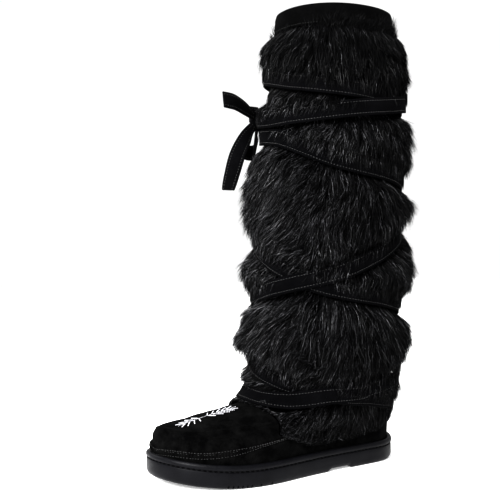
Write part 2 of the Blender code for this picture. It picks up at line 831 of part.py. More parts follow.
def build_straps(group):
    """The two long straps wound round the fur."""
    falling = wrap_line(FALLING_WRAP, -1, 14)
    falling_lifts = lifts_over(falling, [], True)
    rising = wrap_line(RISING_WRAP, 1, 14)
    rising_lifts = lifts_over(rising, [(falling[:-4], falling_lifts[:-4])], False)
    for name, line, lifts in (
        ("wrap_strap_falling", falling, falling_lifts),
        ("wrap_strap_rising", rising, rising_lifts),
    ):
        points = [p + n * (STRAP_STANDOFF + lift) for (_, p, n), lift in zip(line, lifts)]
        ribbon(name, points, [normal for _, _, normal in line], [1.0] * len(line), group)


def lock_pick(column, row):
    """A steady odd number from 0 to 1 for each lock of fur."""
    return (sin(column * 12.9898 + row * 78.233) * 43758.5453) % 1.0


def fur_relief(step, row):
    """Share of the fur's depth at a grid point: full at the tip of a lock and less at its root."""
    column = step // LOCK_STEPS
    shifted = row + (column % 2) * (LOCK_ROWS // 2 + 1)
    lock, part = divmod(shifted, LOCK_ROWS)
    odd = lock_pick(column % (FUR_STEPS // LOCK_STEPS), lock)
    ridge = 0.88 if step % LOCK_STEPS else 1.0
    tip = 1 - part / LOCK_ROWS
    return (1 - LOCK_RELIEF * (1 - tip)) * ridge * (0.86 + 0.22 * odd), tip


def fur_levels(angle, shares):
    """Levels at even shares of the distance along the skin from the fur's lower edge to its top."""
    low = edge_level(FUR_FOOT, angle)
    count = 48
    levels = [low + (FUR_TOP - low) * i / count for i in range(count + 1)]
    points = [skin_point(angle, level) for level in levels]
    ways = [0.0]
    for before, after in zip(points, points[1:]):
        ways.append(ways[-1] + (after - before).length)
    found = []
    for share in shares:
        way = share * ways[-1]
        i = min(bisect_right(ways, way) - 1, count - 1)
        part = (way - ways[i]) / (ways[i + 1] - ways[i])
        found.append(levels[i] + (levels[i + 1] - levels[i]) * part)
    return found


def build_fur(group):
    """Fur sleeve round the shaft and the back of the foot, pinched under each strap, its surface broken
    into hanging locks."""
    rising = wrap_line(RISING_WRAP, 1, 4)
    falling = wrap_line(FALLING_WRAP, -1, 4)
    straps = tree_of([point for _, point, _ in rising + falling])
    knot = knot_frame()[0]
    columns = []
    for step in range(FUR_STEPS):
        angle = 360 * step / FUR_STEPS
        climbs = [row / FUR_ROWS for row in range(FUR_ROWS + 1)]
        outside = []
        for row, level in enumerate(fur_levels(angle, climbs)):
            place, normal = skin_point(angle, level), skin_normal(angle, level)
            relief, tip = fur_relief(step, row)
            full = smooth(FUR_DEPTH, "depth", climbs[row]) * relief
            pinch = ease(near(straps, place), STRAP_WIDTH * 0.95, STRAP_WIDTH * 0.5 + PINCH_REACH)
            pinch *= ease((place - knot).length, KNOT_DENT, KNOT_DENT_END)
            low = FUR_UNDER_STRAP * (0.5 + 0.5 * ease(place.z, ANKLE_HEIGHT, ANKLE_HEIGHT * 1.4))
            low = min(full, low)
            depth = low + (full - low) * pinch
            droop = LOCK_DROOP * tip * pinch * (1 - ease(climbs[row], 0.9, 1.0))
            outside.append(place + normal * depth - Vector((0, 0, droop)))
        foot = edge_level(FUR_FOOT, angle)
        inner = [max(level, foot + 0.01 * k) for k, level in enumerate(FUR_INSIDE_LEVELS)]
        inner[0] = foot
        inside = [shell_point(angle, level, FUR_CLEARANCE) for level in inner + [FUR_TOP]]
        columns.append(outside + inside[::-1])
    bm = bmesh.new()
    loft(bm, [list(ring) for ring in zip(*columns)], wrap=True)
    return add_object("fur_sleeve", bm, FUR, group)


def build_beads(group):
    """Spray of beaded leaves down the middle of the vamp, joined by a thin stem."""
    length = (skin_point(0, RIDGE) - skin_point(0, ANKLE)).xy.length

    def place(key, offset):
        across, back = key
        level = RIDGE + back / length
        spread = (skin_point(4, level).x - skin_point(-4, level).x) / 8
        middle = skin_point(0, level).x + SPRAY_SIDE
        return shell_point((across - middle) / spread, level, offset)

    half = STEM_WIDTH / 2
    stops = [STEM_FRONT * length]
    cells = []
    for row in LEAF_ROWS:
        low = row.back * length
        high = low + LEAF_WIDTH
        stops += [low, high]
        for side in (1, -1):
            tip = side * (half + row.reach * length)
            leaf = [
                (side * half, low),
                (tip, low + row.sweep * length),
                (tip, high + row.sweep * length),
                (side * half, high),
            ]
            cells.append(leaf if side > 0 else leaf[::-1])
    stops.append(STEM_BACK * length)
    for low, high in zip(stops, stops[1:]):
        cells.append([(-half, low), (half, low), (half, high), (-half, high)])
    return plate("bead_spray", cells, place, BEAD_GAP, BEAD_GAP + BEAD_HEIGHT, BEADS, group)


def main():
    clear_scene()
    group = collection("mukluk_boot")
    helpers = collection("helpers")
    helpers.hide_render = True
    build_outsole(group, helpers)
    build_upper(group)
    build_insole(group)
    build_rand(group)
    build_band(group)
    build_fur(group)
    build_straps(group)
    build_bow(group)
    build_beads(group)


main()
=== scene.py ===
"""Looks of the mukluk boot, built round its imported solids. Metres, in the row's frame: the toe points
along -Y, the little-toe side is +X and the floor is z = 0."""

from collections import namedtuple
from math import cos, pi, radians, sin

import bmesh
import bpy
import numpy as np
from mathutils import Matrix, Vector
from mathutils.kdtree import KDTree


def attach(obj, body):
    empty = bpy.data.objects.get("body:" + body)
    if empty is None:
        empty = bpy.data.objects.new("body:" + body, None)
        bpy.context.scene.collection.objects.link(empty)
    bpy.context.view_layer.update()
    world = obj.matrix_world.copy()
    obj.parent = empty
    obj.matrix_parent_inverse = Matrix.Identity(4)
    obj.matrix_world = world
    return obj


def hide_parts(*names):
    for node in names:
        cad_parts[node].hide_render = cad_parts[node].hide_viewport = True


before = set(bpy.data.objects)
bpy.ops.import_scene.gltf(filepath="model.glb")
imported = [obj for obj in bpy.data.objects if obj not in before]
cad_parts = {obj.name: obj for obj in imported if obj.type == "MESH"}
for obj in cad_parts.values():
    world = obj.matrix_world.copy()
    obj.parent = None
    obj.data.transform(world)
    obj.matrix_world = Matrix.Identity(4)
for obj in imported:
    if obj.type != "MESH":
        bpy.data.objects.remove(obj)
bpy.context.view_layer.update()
rng = np.random.default_rng(11)

# Sizes shared with the solids
SOLE_LENGTH = 0.270
BALL_WIDTH = 0.1085
HEEL_SHARE = 0.235
BOOT_HEIGHT = 0.4575
COLLAR_WIDTH = 0.1095
COLLAR_DEPTH = 0.1185
ANKLE_HEIGHT = 0.083
VAMP_HEIGHT = 0.0445
SECTION_POWER = 0.94
SOLE_THICKNESS = 0.0215
CUP_DEPTH = 0.0045
CUP_LIP = 0.0040
SOLE_ROUND = 0.0035
STITCH_GROOVE_HEIGHT = 0.0150
STITCH_GROOVE_WIDTH = 0.0012
TOE_SPRING = 0.0080
TOE_SPRING_START = 0.70
HEEL_LIFT = 0.0030
HEEL_LIFT_END = 0.07
WAIST_LIFT = 0.0024
WAIST_START = 0.28
WAIST_END = 0.37
WAIST_RAMP = 0.012
LUG_PITCH = 0.0135
LUG_GROOVE_WIDTH = 0.0042
LUG_GROOVE_DEPTH = 0.0034
LUG_MARGIN = 0.0075
GAP = 0.0003
UPPER_WALL = 0.0032
PANEL_THICKNESS = 0.0014
BAND_THICKNESS = 0.0014
INSOLE_THICKNESS = 0.0050
FUR_TOP = 4.945
FUR_UNDER_STRAP = 0.0050
PINCH_REACH = 0.018
STRAP_WIDTH = 0.0165
STRAP_THICKNESS = 0.0020
STRAP_STANDOFF = 0.0085
STRAP_LIFT = 0.0038
STRAP_TILT = 0.65
KNOT_ANGLE = -40
KNOT_HEIGHT = 0.769
KNOT_LENGTH = 0.0150
KNOT_DEPTH = 0.0085
KNOT_TALL = 0.0200
KNOT_GAP = 0.0005
SPRAY_SIDE = 0.0015
KNOT_DENT = 0.022
KNOT_DENT_END = 0.050
RIDGE, ANKLE, COLLAR = 3.0, 4.0, 5.0
EDGE_STEPS = 12


def table(columns, *rows):
    """Rows of numbers whose columns have names."""
    row = namedtuple("Row", columns)
    return tuple(row(*values) for values in rows)


# Half widths of the sole, as shares of the ball's, by share of the length from the heel
SOLE_OUTLINE = table(
    "share medial lateral",
    (0.012, 0.34, 0.34), (0.045, 0.57, 0.57), (0.110, 0.73, 0.73), (0.220, 0.78, 0.78),
    (0.360, 0.76, 0.82), (0.500, 0.80, 0.90), (0.620, 0.92, 0.99), (0.720, 1.01, 0.99),
    (0.820, 1.01, 0.89), (0.900, 0.92, 0.69), (0.955, 0.73, 0.44), (0.988, 0.47, 0.16),
)
TOE_TIP_MEDIAL = 0.15
# Share of the way round the sole's edge, by angle from the toe
EDGE_WAY = table(
    "angle way",
    (0, 0.0), (20, 0.17), (40, 0.34), (65, 0.54), (90, 0.71), (130, 0.86), (180, 1.0),
)
# Inset from the sole's edge in metres, rise as a share of the wall's height
WALL_ROWS = table(
    "level inset rise",
    (0.0, 0.0065, 0.0), (1.0, 0.0060, 0.34), (2.0, 0.0057, 0.68), (3.0, 0.0088, 1.0),
)
# Shares of the vamp's height, extra inset in metres, share of RIDGE_CREST
RIDGE_ROWS = table(
    "angle height inset crest",
    (0, 0.95, 0.0005, 1.0), (25, 0.95, 0.0005, 0.8), (50, 0.99, 0.0, 0.25),
    (90, 1.12, -0.0030, 0.0), (180, 1.25, -0.0020, 0.0),
)
RIDGE_CREST = 0.0022
CREST_FADE = 0.10
# Rise of the vamp along its middle, from the ridge to the ankle
VAMP_RISE = table(
    "way rise",
    (0.0, 0.0), (0.07, 0.06), (0.27, 0.21), (0.45, 0.32), (0.67, 0.44), (0.77, 0.51), (0.90, 0.70),
    (1.0, 1.0),
)
# Shares of the collar's half width and half depth, by climb of the shaft
SHAFT_SECTIONS = table(
    "climb side front back",
    (0.00, 0.98, 1.42, 0.88), (0.06, 1.01, 1.41, 0.88), (0.16, 1.06, 1.36, 0.89),
    (0.30, 1.11, 1.29, 0.91), (0.46, 1.13, 1.22, 0.93), (0.60, 1.12, 1.16, 0.95),
    (0.74, 1.08, 1.09, 0.975), (0.86, 1.04, 1.04, 0.99), (1.00, 1.00, 1.00, 1.00),
)
# Upper edge of the suede strip, rising to a counter round the heel
RAND_TOP = table(
    "angle level",
    (0, 0.95), (20, 1.25), (30, 1.70), (40, 2.10), (50, 2.32), (60, 2.05), (70, 1.80), (90, 1.85),
    (120, 2.10), (150, 2.90), (180, 3.20),
)
# Lower edge of the fur
FUR_FOOT = table(
    "angle level",
    (0, 3.82), (18, 3.79), (32, 3.66), (43, 3.40), (50, 3.05), (57, 2.45), (65, 2.12), (75, 2.05),
    (90, 2.05), (120, 2.35), (150, 3.10), (180, 3.35),
)
# Depth of the fur in metres, by climb from its lower edge
FUR_DEPTH = table(
    "climb depth",
    (0.0, 0.0110), (0.05, 0.0210), (0.15, 0.0300), (0.50, 0.0310), (0.70, 0.0285), (0.85, 0.0245),
    (0.97, 0.0190), (1.0, 0.0070),
)
# Turns in degrees from the toe, heights as shares of the boot's
RISING_WRAP = table(
    "turn height",
    (-95, 0.144), (-60, 0.151), (-30, 0.155), (0, 0.152), (17, 0.147), (30, 0.147), (45, 0.158),
    (60, 0.169), (90, 0.182), (120, 0.194), (150, 0.212), (210, 0.263), (330, 0.363), (360, 0.383),
    (389, 0.404), (425, 0.433), (470, 0.490), (580, 0.625), (640, 0.705), (677, 0.768),
)
FALLING_WRAP = table(
    "turn height",
    (-128, 0.143), (-96, 0.159), (-60, 0.172), (-45, 0.178), (-30, 0.189), (-15, 0.202), (0, 0.213),
    (30, 0.231), (140, 0.306), (259, 0.369), (312, 0.400), (344, 0.435), (390, 0.490), (500, 0.573),
    (607, 0.634), (660, 0.662), (711, 0.713), (753, 0.728), (860, 0.764), (969, 0.802),
    (1055, 0.831), (1113, 0.861), (1220, 0.836), (1329, 0.788), (1392, 0.765), (1440, 0.757),
    (1477, 0.768),
)
# Strap widths from the knot's side and back, lean in degrees, width as a share
UPPER_LOOP = table(
    "way along out up lean width",
    (0.0, 0.00, 0.08, 0.30, 0, 0.52), (0.22, -1.09, 0.28, 0.55, 5, 1.0),
    (0.42, -2.30, 0.35, 0.79, 8, 1.0), (0.5, -2.73, 0.59, 0.91, 8, 1.0),
    (0.58, -2.36, 0.89, 0.91, 8, 1.0), (0.78, -1.15, 0.89, 0.67, 5, 1.0),
    (1.0, 0.00, 0.44, 0.30, 0, 0.52),
)
LOWER_LOOP = table(
    "way along out up lean width",
    (0.0, 0.00, 0.08, -0.30, 0, 0.52), (0.22, -1.09, 0.38, -0.91, -6, 1.0),
    (0.42, -2.36, 0.56, -1.45, -12, 1.0), (0.5, -2.91, 0.92, -1.64, -12, 1.0),
    (0.58, -2.48, 1.35, -1.58, -12, 1.0), (0.78, -1.21, 1.22, -0.97, -6, 1.0),
    (1.0, 0.00, 0.44, -0.30, 0, 0.52),
)
UPPER_END = table(
    "way along out up lean width",
    (0.0, 0.00, 0.19, 0.30, 0, 0.52), (0.35, 1.09, 0.59, 0.64, 6, 0.9),
    (0.7, 2.18, 1.01, 0.85, 10, 1.0), (1.0, 2.91, 1.53, 0.91, 14, 1.0),
)
LOWER_END = table(
    "way along out up lean width",
    (0.0, 0.08, 0.19, -0.30, 0, 0.52), (0.25, 0.85, 0.56, -1.15, 25, 0.85),
    (0.5, 1.45, 0.98, -2.24, 75, 1.0), (0.75, 1.70, 1.28, -3.39, 120, 1.0),
    (1.0, 1.94, 1.53, -4.48, 150, 1.0),
)
# Each pair of leaves behind the ridge and its tips' reach and sweep, in vamp lengths
LEAF_ROWS = table(
    "back reach sweep",
    (0.181, 0.035, -0.060), (0.225, 0.055, -0.063), (0.269, 0.062, -0.049), (0.313, 0.058, -0.031),
    (0.406, 0.051, 0.031), (0.451, 0.063, 0.053), (0.497, 0.065, 0.071), (0.543, 0.058, 0.079),
    (0.589, 0.044, 0.079),
)

STEM_FRONT = 0.132
STEM_BACK = 0.688


# The skin of the boot, on arrays


def smooth(rows, column, at):
    """A column's value on a smooth curve through the table's rows."""
    places = np.array([row[0] for row in rows], float)
    values = np.array([getattr(row, column) for row in rows], float)
    count = len(rows)
    low = np.maximum(np.arange(count) - 1, 0)
    high = np.minimum(np.arange(count) + 1, count - 1)
    slopes = (values[high] - values[low]) / (places[high] - places[low])
    at = np.clip(np.asarray(at, float), places[0], places[-1])
    i = np.clip(np.searchsorted(places, at, side="right") - 1, 0, count - 2)
    span = places[i + 1] - places[i]
    t = (at - places[i]) / span
    start = values[i] * (1 + 2 * t) * (1 - t) ** 2 + slopes[i] * span * t * (1 - t) ** 2
    return start + values[i + 1] * t * t * (3 - 2 * t) - slopes[i + 1] * span * t * t * (1 - t)


def ease(at, low, high):
    t = np.clip((np.asarray(at, float) - low) / (high - low), 0.0, 1.0)
    return t * t * (3 - 2 * t)


def sole_y(share):
    return (HEEL_SHARE - share) * SOLE_LENGTH


def spring(y):
    share = HEEL_SHARE - y / SOLE_LENGTH
    toe = np.maximum(share - TOE_SPRING_START, 0.0) / (1 - TOE_SPRING_START)
    heel = np.maximum(HEEL_LIFT_END - share, 0.0) / HEEL_LIFT_END
    return TOE_SPRING * toe * toe + HEEL_LIFT * heel * heel


def waist(y):
    share = HEEL_SHARE - y / SOLE_LENGTH
    rise = ease(share, WAIST_START - WAIST_RAMP, WAIST_START)
    return WAIST_LIFT * rise * (1 - ease(share, WAIST_END, WAIST_END + WAIST_RAMP))


def sole_loop():
    half = BALL_WIDTH / 2
    lateral = [(row.lateral * half, sole_y(row.share)) for row in SOLE_OUTLINE]
    medial = [(-row.medial * half, sole_y(row.share)) for row in SOLE_OUTLINE]
    toe = (-TOE_TIP_MEDIAL * half, sole_y(1.0))
    knots = [np.array(p) for p in [toe, *reversed(lateral), (0.0, sole_y(0.0)), *medial]]
    points = []
    for i, start in enumerate(knots):
        before, end = knots[i - 1], knots[(i + 1) % len(knots)]
        after = knots[(i + 2) % len(knots)]
        reach = np.linalg.norm(end - start)
        out = (end - before) / np.linalg.norm(end - before) * reach
        into = (after - start) / np.linalg.norm(after - start) * reach
        for k in range(EDGE_STEPS):
            t = k / EDGE_STEPS
            points.append(
                start * (1 + 2 * t) * (1 - t) ** 2
                + out * t * (1 - t) ** 2
                + end * t * t * (3 - 2 * t)
                - into * t * t * (1 - t)
            )
    points.append(points[0])
    return np.array(points), EDGE_STEPS * (len(SOLE_OUTLINE) + 1)


LOOP, HEEL_AT = sole_loop()
LOOP_WAY = np.concatenate([[0], np.cumsum(np.linalg.norm(np.diff(LOOP, axis=0), axis=1))])
HEEL_WAY, LOOP_LENGTH = LOOP_WAY[HEEL_AT], LOOP_WAY[-1]


def on_loop(way):
    """Points of the sole's outline at ways along it from the toe."""
    way = np.mod(way, LOOP_LENGTH)
    return np.stack([np.interp(way, LOOP_WAY, LOOP[:, k]) for k in (0, 1)], -1)


def edge_point(angle, inset):
    angle = np.mod(np.asarray(angle, float) + 180, 360) - 180
    way = smooth(EDGE_WAY, "way", np.abs(angle))
    at = np.where(angle >= 0, way * HEEL_WAY, LOOP_LENGTH - way * (LOOP_LENGTH - HEEL_WAY))
    probe = LOOP_LENGTH / 150
    along = on_loop(at + probe) - on_loop(at - probe)
    along = along / np.linalg.norm(along, axis=-1, keepdims=True)
    inward = np.stack([-along[..., 1], along[..., 0]], -1)
    return on_loop(at) + inward * np.asarray(inset)[..., None]


def turn_of(angle):
    return np.abs(np.mod(np.asarray(angle, float) + 180, 360) - 180)


def wall_point(angle, level):
    turn = turn_of(angle)
    share = ease(level, 2.0, RIDGE)
    inset = smooth(WALL_ROWS, "inset", level) + smooth(RIDGE_ROWS, "inset", turn) * share
    top = VAMP_HEIGHT * smooth(RIDGE_ROWS, "height", turn)
    low = SOLE_THICKNESS - CUP_DEPTH + GAP
    plan = edge_point(angle, inset)
    crest = RIDGE_CREST * smooth(RIDGE_ROWS, "crest", turn) * share
    z = low + (top - low) * smooth(WALL_ROWS, "rise", level) + crest + spring(plan[..., 1])
    return np.concatenate([plan, z[..., None]], -1)


def shaft_point(angle, climb):
    turn = np.radians(angle)
    side = smooth(SHAFT_SECTIONS, "side", climb) * COLLAR_WIDTH / 2
    front = smooth(SHAFT_SECTIONS, "front", climb)
    back = smooth(SHAFT_SECTIONS, "back", climb)
    depth = np.where(np.cos(turn) >= 0, front, back) * COLLAR_DEPTH / 2
    x = side * np.abs(np.sin(turn)) ** SECTION_POWER * np.sign(np.sin(turn))
    y = -depth * np.abs(np.cos(turn)) ** SECTION_POWER * np.sign(np.cos(turn))
    z = ANKLE_HEIGHT + (BOOT_HEIGHT - ANKLE_HEIGHT) * np.asarray(climb) + 0 * x
    return np.stack([x, y, z], -1)


def vamp_point(angle, way):
    turn = turn_of(angle)
    start = wall_point(angle, np.full(np.shape(angle), RIDGE))
    end = shaft_point(angle, np.zeros(np.shape(angle)))
    crest = RIDGE_CREST * smooth(RIDGE_ROWS, "crest", turn)
    front = 1 - ease(turn, 35, 85)
    rise = front * smooth(VAMP_RISE, "rise", way) + (1 - front) * way
    place = start + (end - start) * way[..., None]
    base = start[..., 2] - crest
    place[..., 2] = base + (end[..., 2] - base) * rise + crest * (1 - ease(way, 0.0, CREST_FADE))
    return place


def skin(angle, level):
    """Points of the upper's outer surface."""
    angle, level = np.broadcast_arrays(np.asarray(angle, float), np.asarray(level, float))
    wall = wall_point(angle, np.minimum(level, RIDGE))
    vamp = vamp_point(angle, np.clip(level - RIDGE, 0, 1))
    shaft = shaft_point(angle, np.clip(level - ANKLE, 0, 1))
    place = np.where((level <= RIDGE)[..., None], wall, vamp)
    return np.where((level > ANKLE)[..., None], shaft, place)


def unit(v):
    return v / np.maximum(np.linalg.norm(v, axis=-1, keepdims=True), 1e-12)


def skin_normal(angle, level, turn=2.0, step=0.03):
    level = np.asarray(level, float)
    low, high = np.maximum(level - step, 0.0), np.minimum(level + step, COLLAR)
    round_it = skin(angle + turn, level) - skin(angle - turn, level)
    return unit(np.cross(round_it, skin(angle, high) - skin(angle, low)))


def off_skin(angle, level, out):
    """Points at a distance out from the upper's outer surface."""
    return skin(angle, level) + skin_normal(angle, level) * np.asarray(out)[..., None]


def edge_level(rows, angle):
    return smooth(rows, "level", turn_of(angle))


def round_angles(steps):
    return np.arange(steps) * 360.0 / steps


def way_along(points):
    """Length of the line from its start to each of its points."""
    return np.concatenate([[0], np.cumsum(np.linalg.norm(np.diff(points, axis=0), axis=1))])


# Meshes


def new_object(name, points, faces, material, smooth_shade=True):
    """Mesh object from arrays of points and of equal-sized faces."""
    mesh = bpy.data.meshes.new(name)
    count, size = faces.shape
    mesh.vertices.add(len(points))
    mesh.vertices.foreach_set("co", np.ascontiguousarray(points, np.float32).ravel())
    mesh.loops.add(count * size)
    mesh.loops.foreach_set("vertex_index", np.ascontiguousarray(faces, np.int32).ravel())
    mesh.polygons.add(count)
    mesh.polygons.foreach_set("loop_start", np.arange(count, dtype=np.int32) * size)
    mesh.update(calc_edges=True)
    if smooth_shade:
        mesh.shade_smooth()
    made = bpy.data.objects.new(name, mesh)
    made.data.materials.append(material)
    bpy.context.scene.collection.objects.link(made)
    return made


def grid_faces(rows, cols, close_cols=False, close_rows=False):
    i = np.arange(rows if close_rows else rows - 1)
    k = np.arange(cols if close_cols else cols - 1)
    i, k = np.meshgrid(i, k, indexing="ij")
    after, beside = (i + 1) % rows, (k + 1) % cols
    return np.stack(
        [i * cols + k, i * cols + beside, after * cols + beside, after * cols + k], -1
    ).reshape(-1, 4)


def grid_object(name, points, material, close_cols=True, close_rows=False):
    rows, cols = points.shape[:2]
    faces = grid_faces(rows, cols, close_cols, close_rows)
    return new_object(name, points.reshape(-1, 3), faces, material)


def cap_ends(made, cols, netted=False):
    """Closes a grid over its first and last row, by one face each or by a net of quads."""
    bm = bmesh.new()
    bm.from_mesh(made.data)
    bm.verts.ensure_lookup_table()
    count = len(bm.verts)
    if netted:
        for base in (0, count - cols):
            ring = [bm.verts[base + k] for k in range(cols)]
            for i in range(cols // 2):
                corners = []
                for vert in (ring[i], ring[i + 1], ring[-i - 1], ring[-i] if i else ring[0]):
                    if vert not in corners:
                        corners.append(vert)
                bm.faces.new(corners)
    else:
        bm.faces.new([bm.verts[k] for k in range(cols)])
        bm.faces.new([bm.verts[count - 1 - k] for k in range(cols)])
    bmesh.ops.recalc_face_normals(bm, faces=bm.faces)
    bm.to_mesh(made.data)
    bm.free()
    return made


def finish_piece(piece, slot, *nodes):
    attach(piece, "root")
    if nodes:
        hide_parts(*nodes)
    return piece


# Materials


def shader(name, colour, roughness, **sockets):
    made = bpy.data.materials.new(name)
    made.use_nodes = True
    made.diffuse_color = (*colour, 1.0)
    node = made.node_tree.nodes["Principled BSDF"]
    node.inputs["Base Color"].default_value = (*colour, 1.0)
    node.inputs["Roughness"].default_value = roughness
    for socket, value in sockets.items():
        node.inputs[socket.replace("_", " ")].default_value = value
    return made, made.node_tree, node


def noise(tree, scale, detail=3.0, roughness=0.6):
    where = tree.nodes.new("ShaderNodeTexCoord")
    made = tree.nodes.new("ShaderNodeTexNoise")
    made.inputs["Scale"].default_value = scale
    made.inputs["Detail"].default_value = detail
    made.inputs["Roughness"].default_value = roughness
    tree.links.new(where.outputs["Object"], made.inputs["Vector"])
    return made.outputs["Fac"]


def ramp(tree, source, stops):
    made = tree.nodes.new("ShaderNodeValToRGB")
    elements = made.color_ramp.elements
    while len(elements) < len(stops):
        elements.new(0.5)
    for element, (place, colour) in zip(elements, stops):
        element.position = place
        element.color = (*colour, 1.0)
    tree.links.new(source, made.inputs["Fac"])
    return made.outputs["Color"]


def bump(tree, node, source, strength, distance):
    made = tree.nodes.new("ShaderNodeBump")
    made.inputs["Strength"].default_value = strength
    made.inputs["Distance"].default_value = distance
    tree.links.new(source, made.inputs["Height"])
    before = node.inputs["Normal"].links
    if before:
        tree.links.new(before[0].from_socket, made.inputs["Normal"])
    tree.links.new(made.outputs["Normal"], node.inputs["Normal"])


def suede(name, dark, light, sheen=0.004):
    made, tree, node = shader(
        name, dark, 0.97, Specular_IOR_Level=0.03, Sheen_Weight=sheen, Sheen_Roughness=0.5
    )
    blotch = noise(tree, 58, 6.0, 0.72)
    colour = ramp(tree, blotch, [(0.40, dark), (0.66, light)])
    tree.links.new(colour, node.inputs["Base Color"])
    bump(tree, node, noise(tree, 1100, 3.0, 0.7), 0.5, 0.0005)
    bump(tree, node, noise(tree, 120, 4.0, 0.6), 0.6, 0.0016)
    return made


def rubber(name, dark, light):
    made, tree, node = shader(name, dark, 0.40, Specular_IOR_Level=0.13)
    colour = ramp(tree, noise(tree, 60, 4.0, 0.6), [(0.35, dark), (0.65, light)])
    tree.links.new(colour, node.inputs["Base Color"])
    gloss = ramp(tree, noise(tree, 140, 3.0, 0.6), [(0.3, (0.34,) * 3), (0.7, (0.50,) * 3)])
    tree.links.new(gloss, node.inputs["Roughness"])
    bump(tree, node, noise(tree, 1500, 2.0, 0.6), 0.18, 0.0003)
    return made


def hair(name, dark, light, roughness, gloss=0.3):
    made, tree, node = shader(name, dark, roughness, Specular_IOR_Level=gloss)
    colour = ramp(tree, noise(tree, 420, 3.0, 0.7), [(0.42, dark), (0.68, light)])
    tree.links.new(colour, node.inputs["Base Color"])
    return made


SUEDE = suede("black_suede", (0.0006, 0.0006, 0.0007), (0.0056, 0.0056, 0.0056))
BAND_SUEDE = suede("collar_suede", (0.0010, 0.0010, 0.0011), (0.0026, 0.0026, 0.0027))
STRAP_SUEDE = suede("strap_suede", (0.0015, 0.0015, 0.0019), (0.0032, 0.0032, 0.0038))
RUBBER = rubber("sole_rubber", (0.0030, 0.0030, 0.0042), (0.0048, 0.0048, 0.0064))
UNDERCOAT = hair("fur_undercoat", (0.0005, 0.0005, 0.0006), (0.0014, 0.0014, 0.0016), 1.0, 0.0)
HAIR_DARK = hair("fur_dark", (0.0008, 0.0008, 0.0009), (0.0026, 0.0026, 0.0029), 0.50, 0.06)
HAIR_MID = hair("fur_mid", (0.0022, 0.0022, 0.0025), (0.0090, 0.0090, 0.0098), 0.42, 0.18)
# Pale strands, up to 0.15, are painted glints: they stand in for highlights along the black hair
HAIR_PAINTED_GLINT = hair("fur_painted_glint", (0.0060, 0.0060, 0.0068), (0.1500, 0.1500, 0.1600), 0.36, 0.35)
THREAD = shader("pale_thread", (0.110, 0.108, 0.106), 0.7)[0]
DARK_THREAD = shader("dark_thread", (0.0010, 0.0010, 0.0014), 0.8, Specular_IOR_Level=0.05)[0]
GREY_THREAD = shader("grey_thread", (0.040, 0.040, 0.040), 0.7)[0]
BEAD = shader("white_bead", (0.52, 0.52, 0.54), 0.25, Coat_Weight=0.5, Coat_Roughness=0.08)[0]
FLEECE = hair("fleece", (0.0040, 0.0040, 0.0044), (0.0110, 0.0110, 0.0120), 0.95, 0.05)


# Sole


GROOVE_INSET = 0.0010
SHARP_ANGLE = 38
SLIT_SHARES = (0.655, 0.700, *np.arange(0.735, 0.832, 0.0165))
SLIT_OUT, SLIT_IN = 0.004, 0.005
SLIT_WIDTH, SLIT_DEPTH = 0.0013, 0.0031


def sole_ring(inset, height, lift, steps):
    plan = edge_point(round_angles(steps), np.full(steps, inset))
    z = height + (spring(plan[:, 1]) + waist(plan[:, 1]) * lift)
    return np.concatenate([plan, z[:, None]], 1)


def build_outsole():
    steps = 360
    groove_top = STITCH_GROOVE_HEIGHT + STITCH_GROOVE_WIDTH
    profile = [  # inset, height, share of the waist's lift
        (SOLE_ROUND, 0.0, 1),
        (SOLE_ROUND * 0.55, SOLE_ROUND * 0.18, 1),
        (SOLE_ROUND * 0.22, SOLE_ROUND * 0.6, 1),
        (SOLE_ROUND * 0.05, SOLE_ROUND * 1.2, 0.6),
        (0.0, SOLE_ROUND * 1.8, 0),
        (0.0001, 0.0100, 0),
        (0.0003, STITCH_GROOVE_HEIGHT - 0.0009, 0),
        (0.0005, STITCH_GROOVE_HEIGHT - 0.0003, 0),
        (GROOVE_INSET, STITCH_GROOVE_HEIGHT, 0),
        (GROOVE_INSET, groove_top, 0),
        (0.0003, groove_top + 0.0002, 0),
        (-0.0003, groove_top + 0.0007, 0),
        (-0.0005, groove_top + 0.0016, 0),
        (-0.0003, SOLE_THICKNESS - 0.0022, 0),
        (0.0003, SOLE_THICKNESS - 0.0010, 0),
        (0.0012, SOLE_THICKNESS - 0.0002, 0),
        (CUP_LIP * 0.55, SOLE_THICKNESS, 0),
        (CUP_LIP * 0.9, SOLE_THICKNESS - 0.0004, 0),
        (CUP_LIP, SOLE_THICKNESS - 0.0012, 0),
        (CUP_LIP, SOLE_THICKNESS - CUP_DEPTH, 0),
    ]
    rings = [sole_ring(inset, height, lift, steps) for inset, height, lift in profile]
    sole = cap_ends(grid_object("rubber_sole", np.array(rings), RUBBER), steps, True)
    cut_lugs(sole)
    mesh = sole.data
    for polygon in mesh.polygons:
        polygon.use_smooth = True
    mesh.set_sharp_from_angle(angle=radians(SHARP_ANGLE))
    return finish_piece(sole, "sole_rubber", "outsole")


def half_widths(y, margin):
    """Half widths of the sole at y towards the big and the little toe, less a margin."""
    share = HEEL_SHARE - y / SOLE_LENGTH
    return [float(smooth(SOLE_OUTLINE, side, share)) * BALL_WIDTH / 2 - margin
            for side in ("medial", "lateral")]


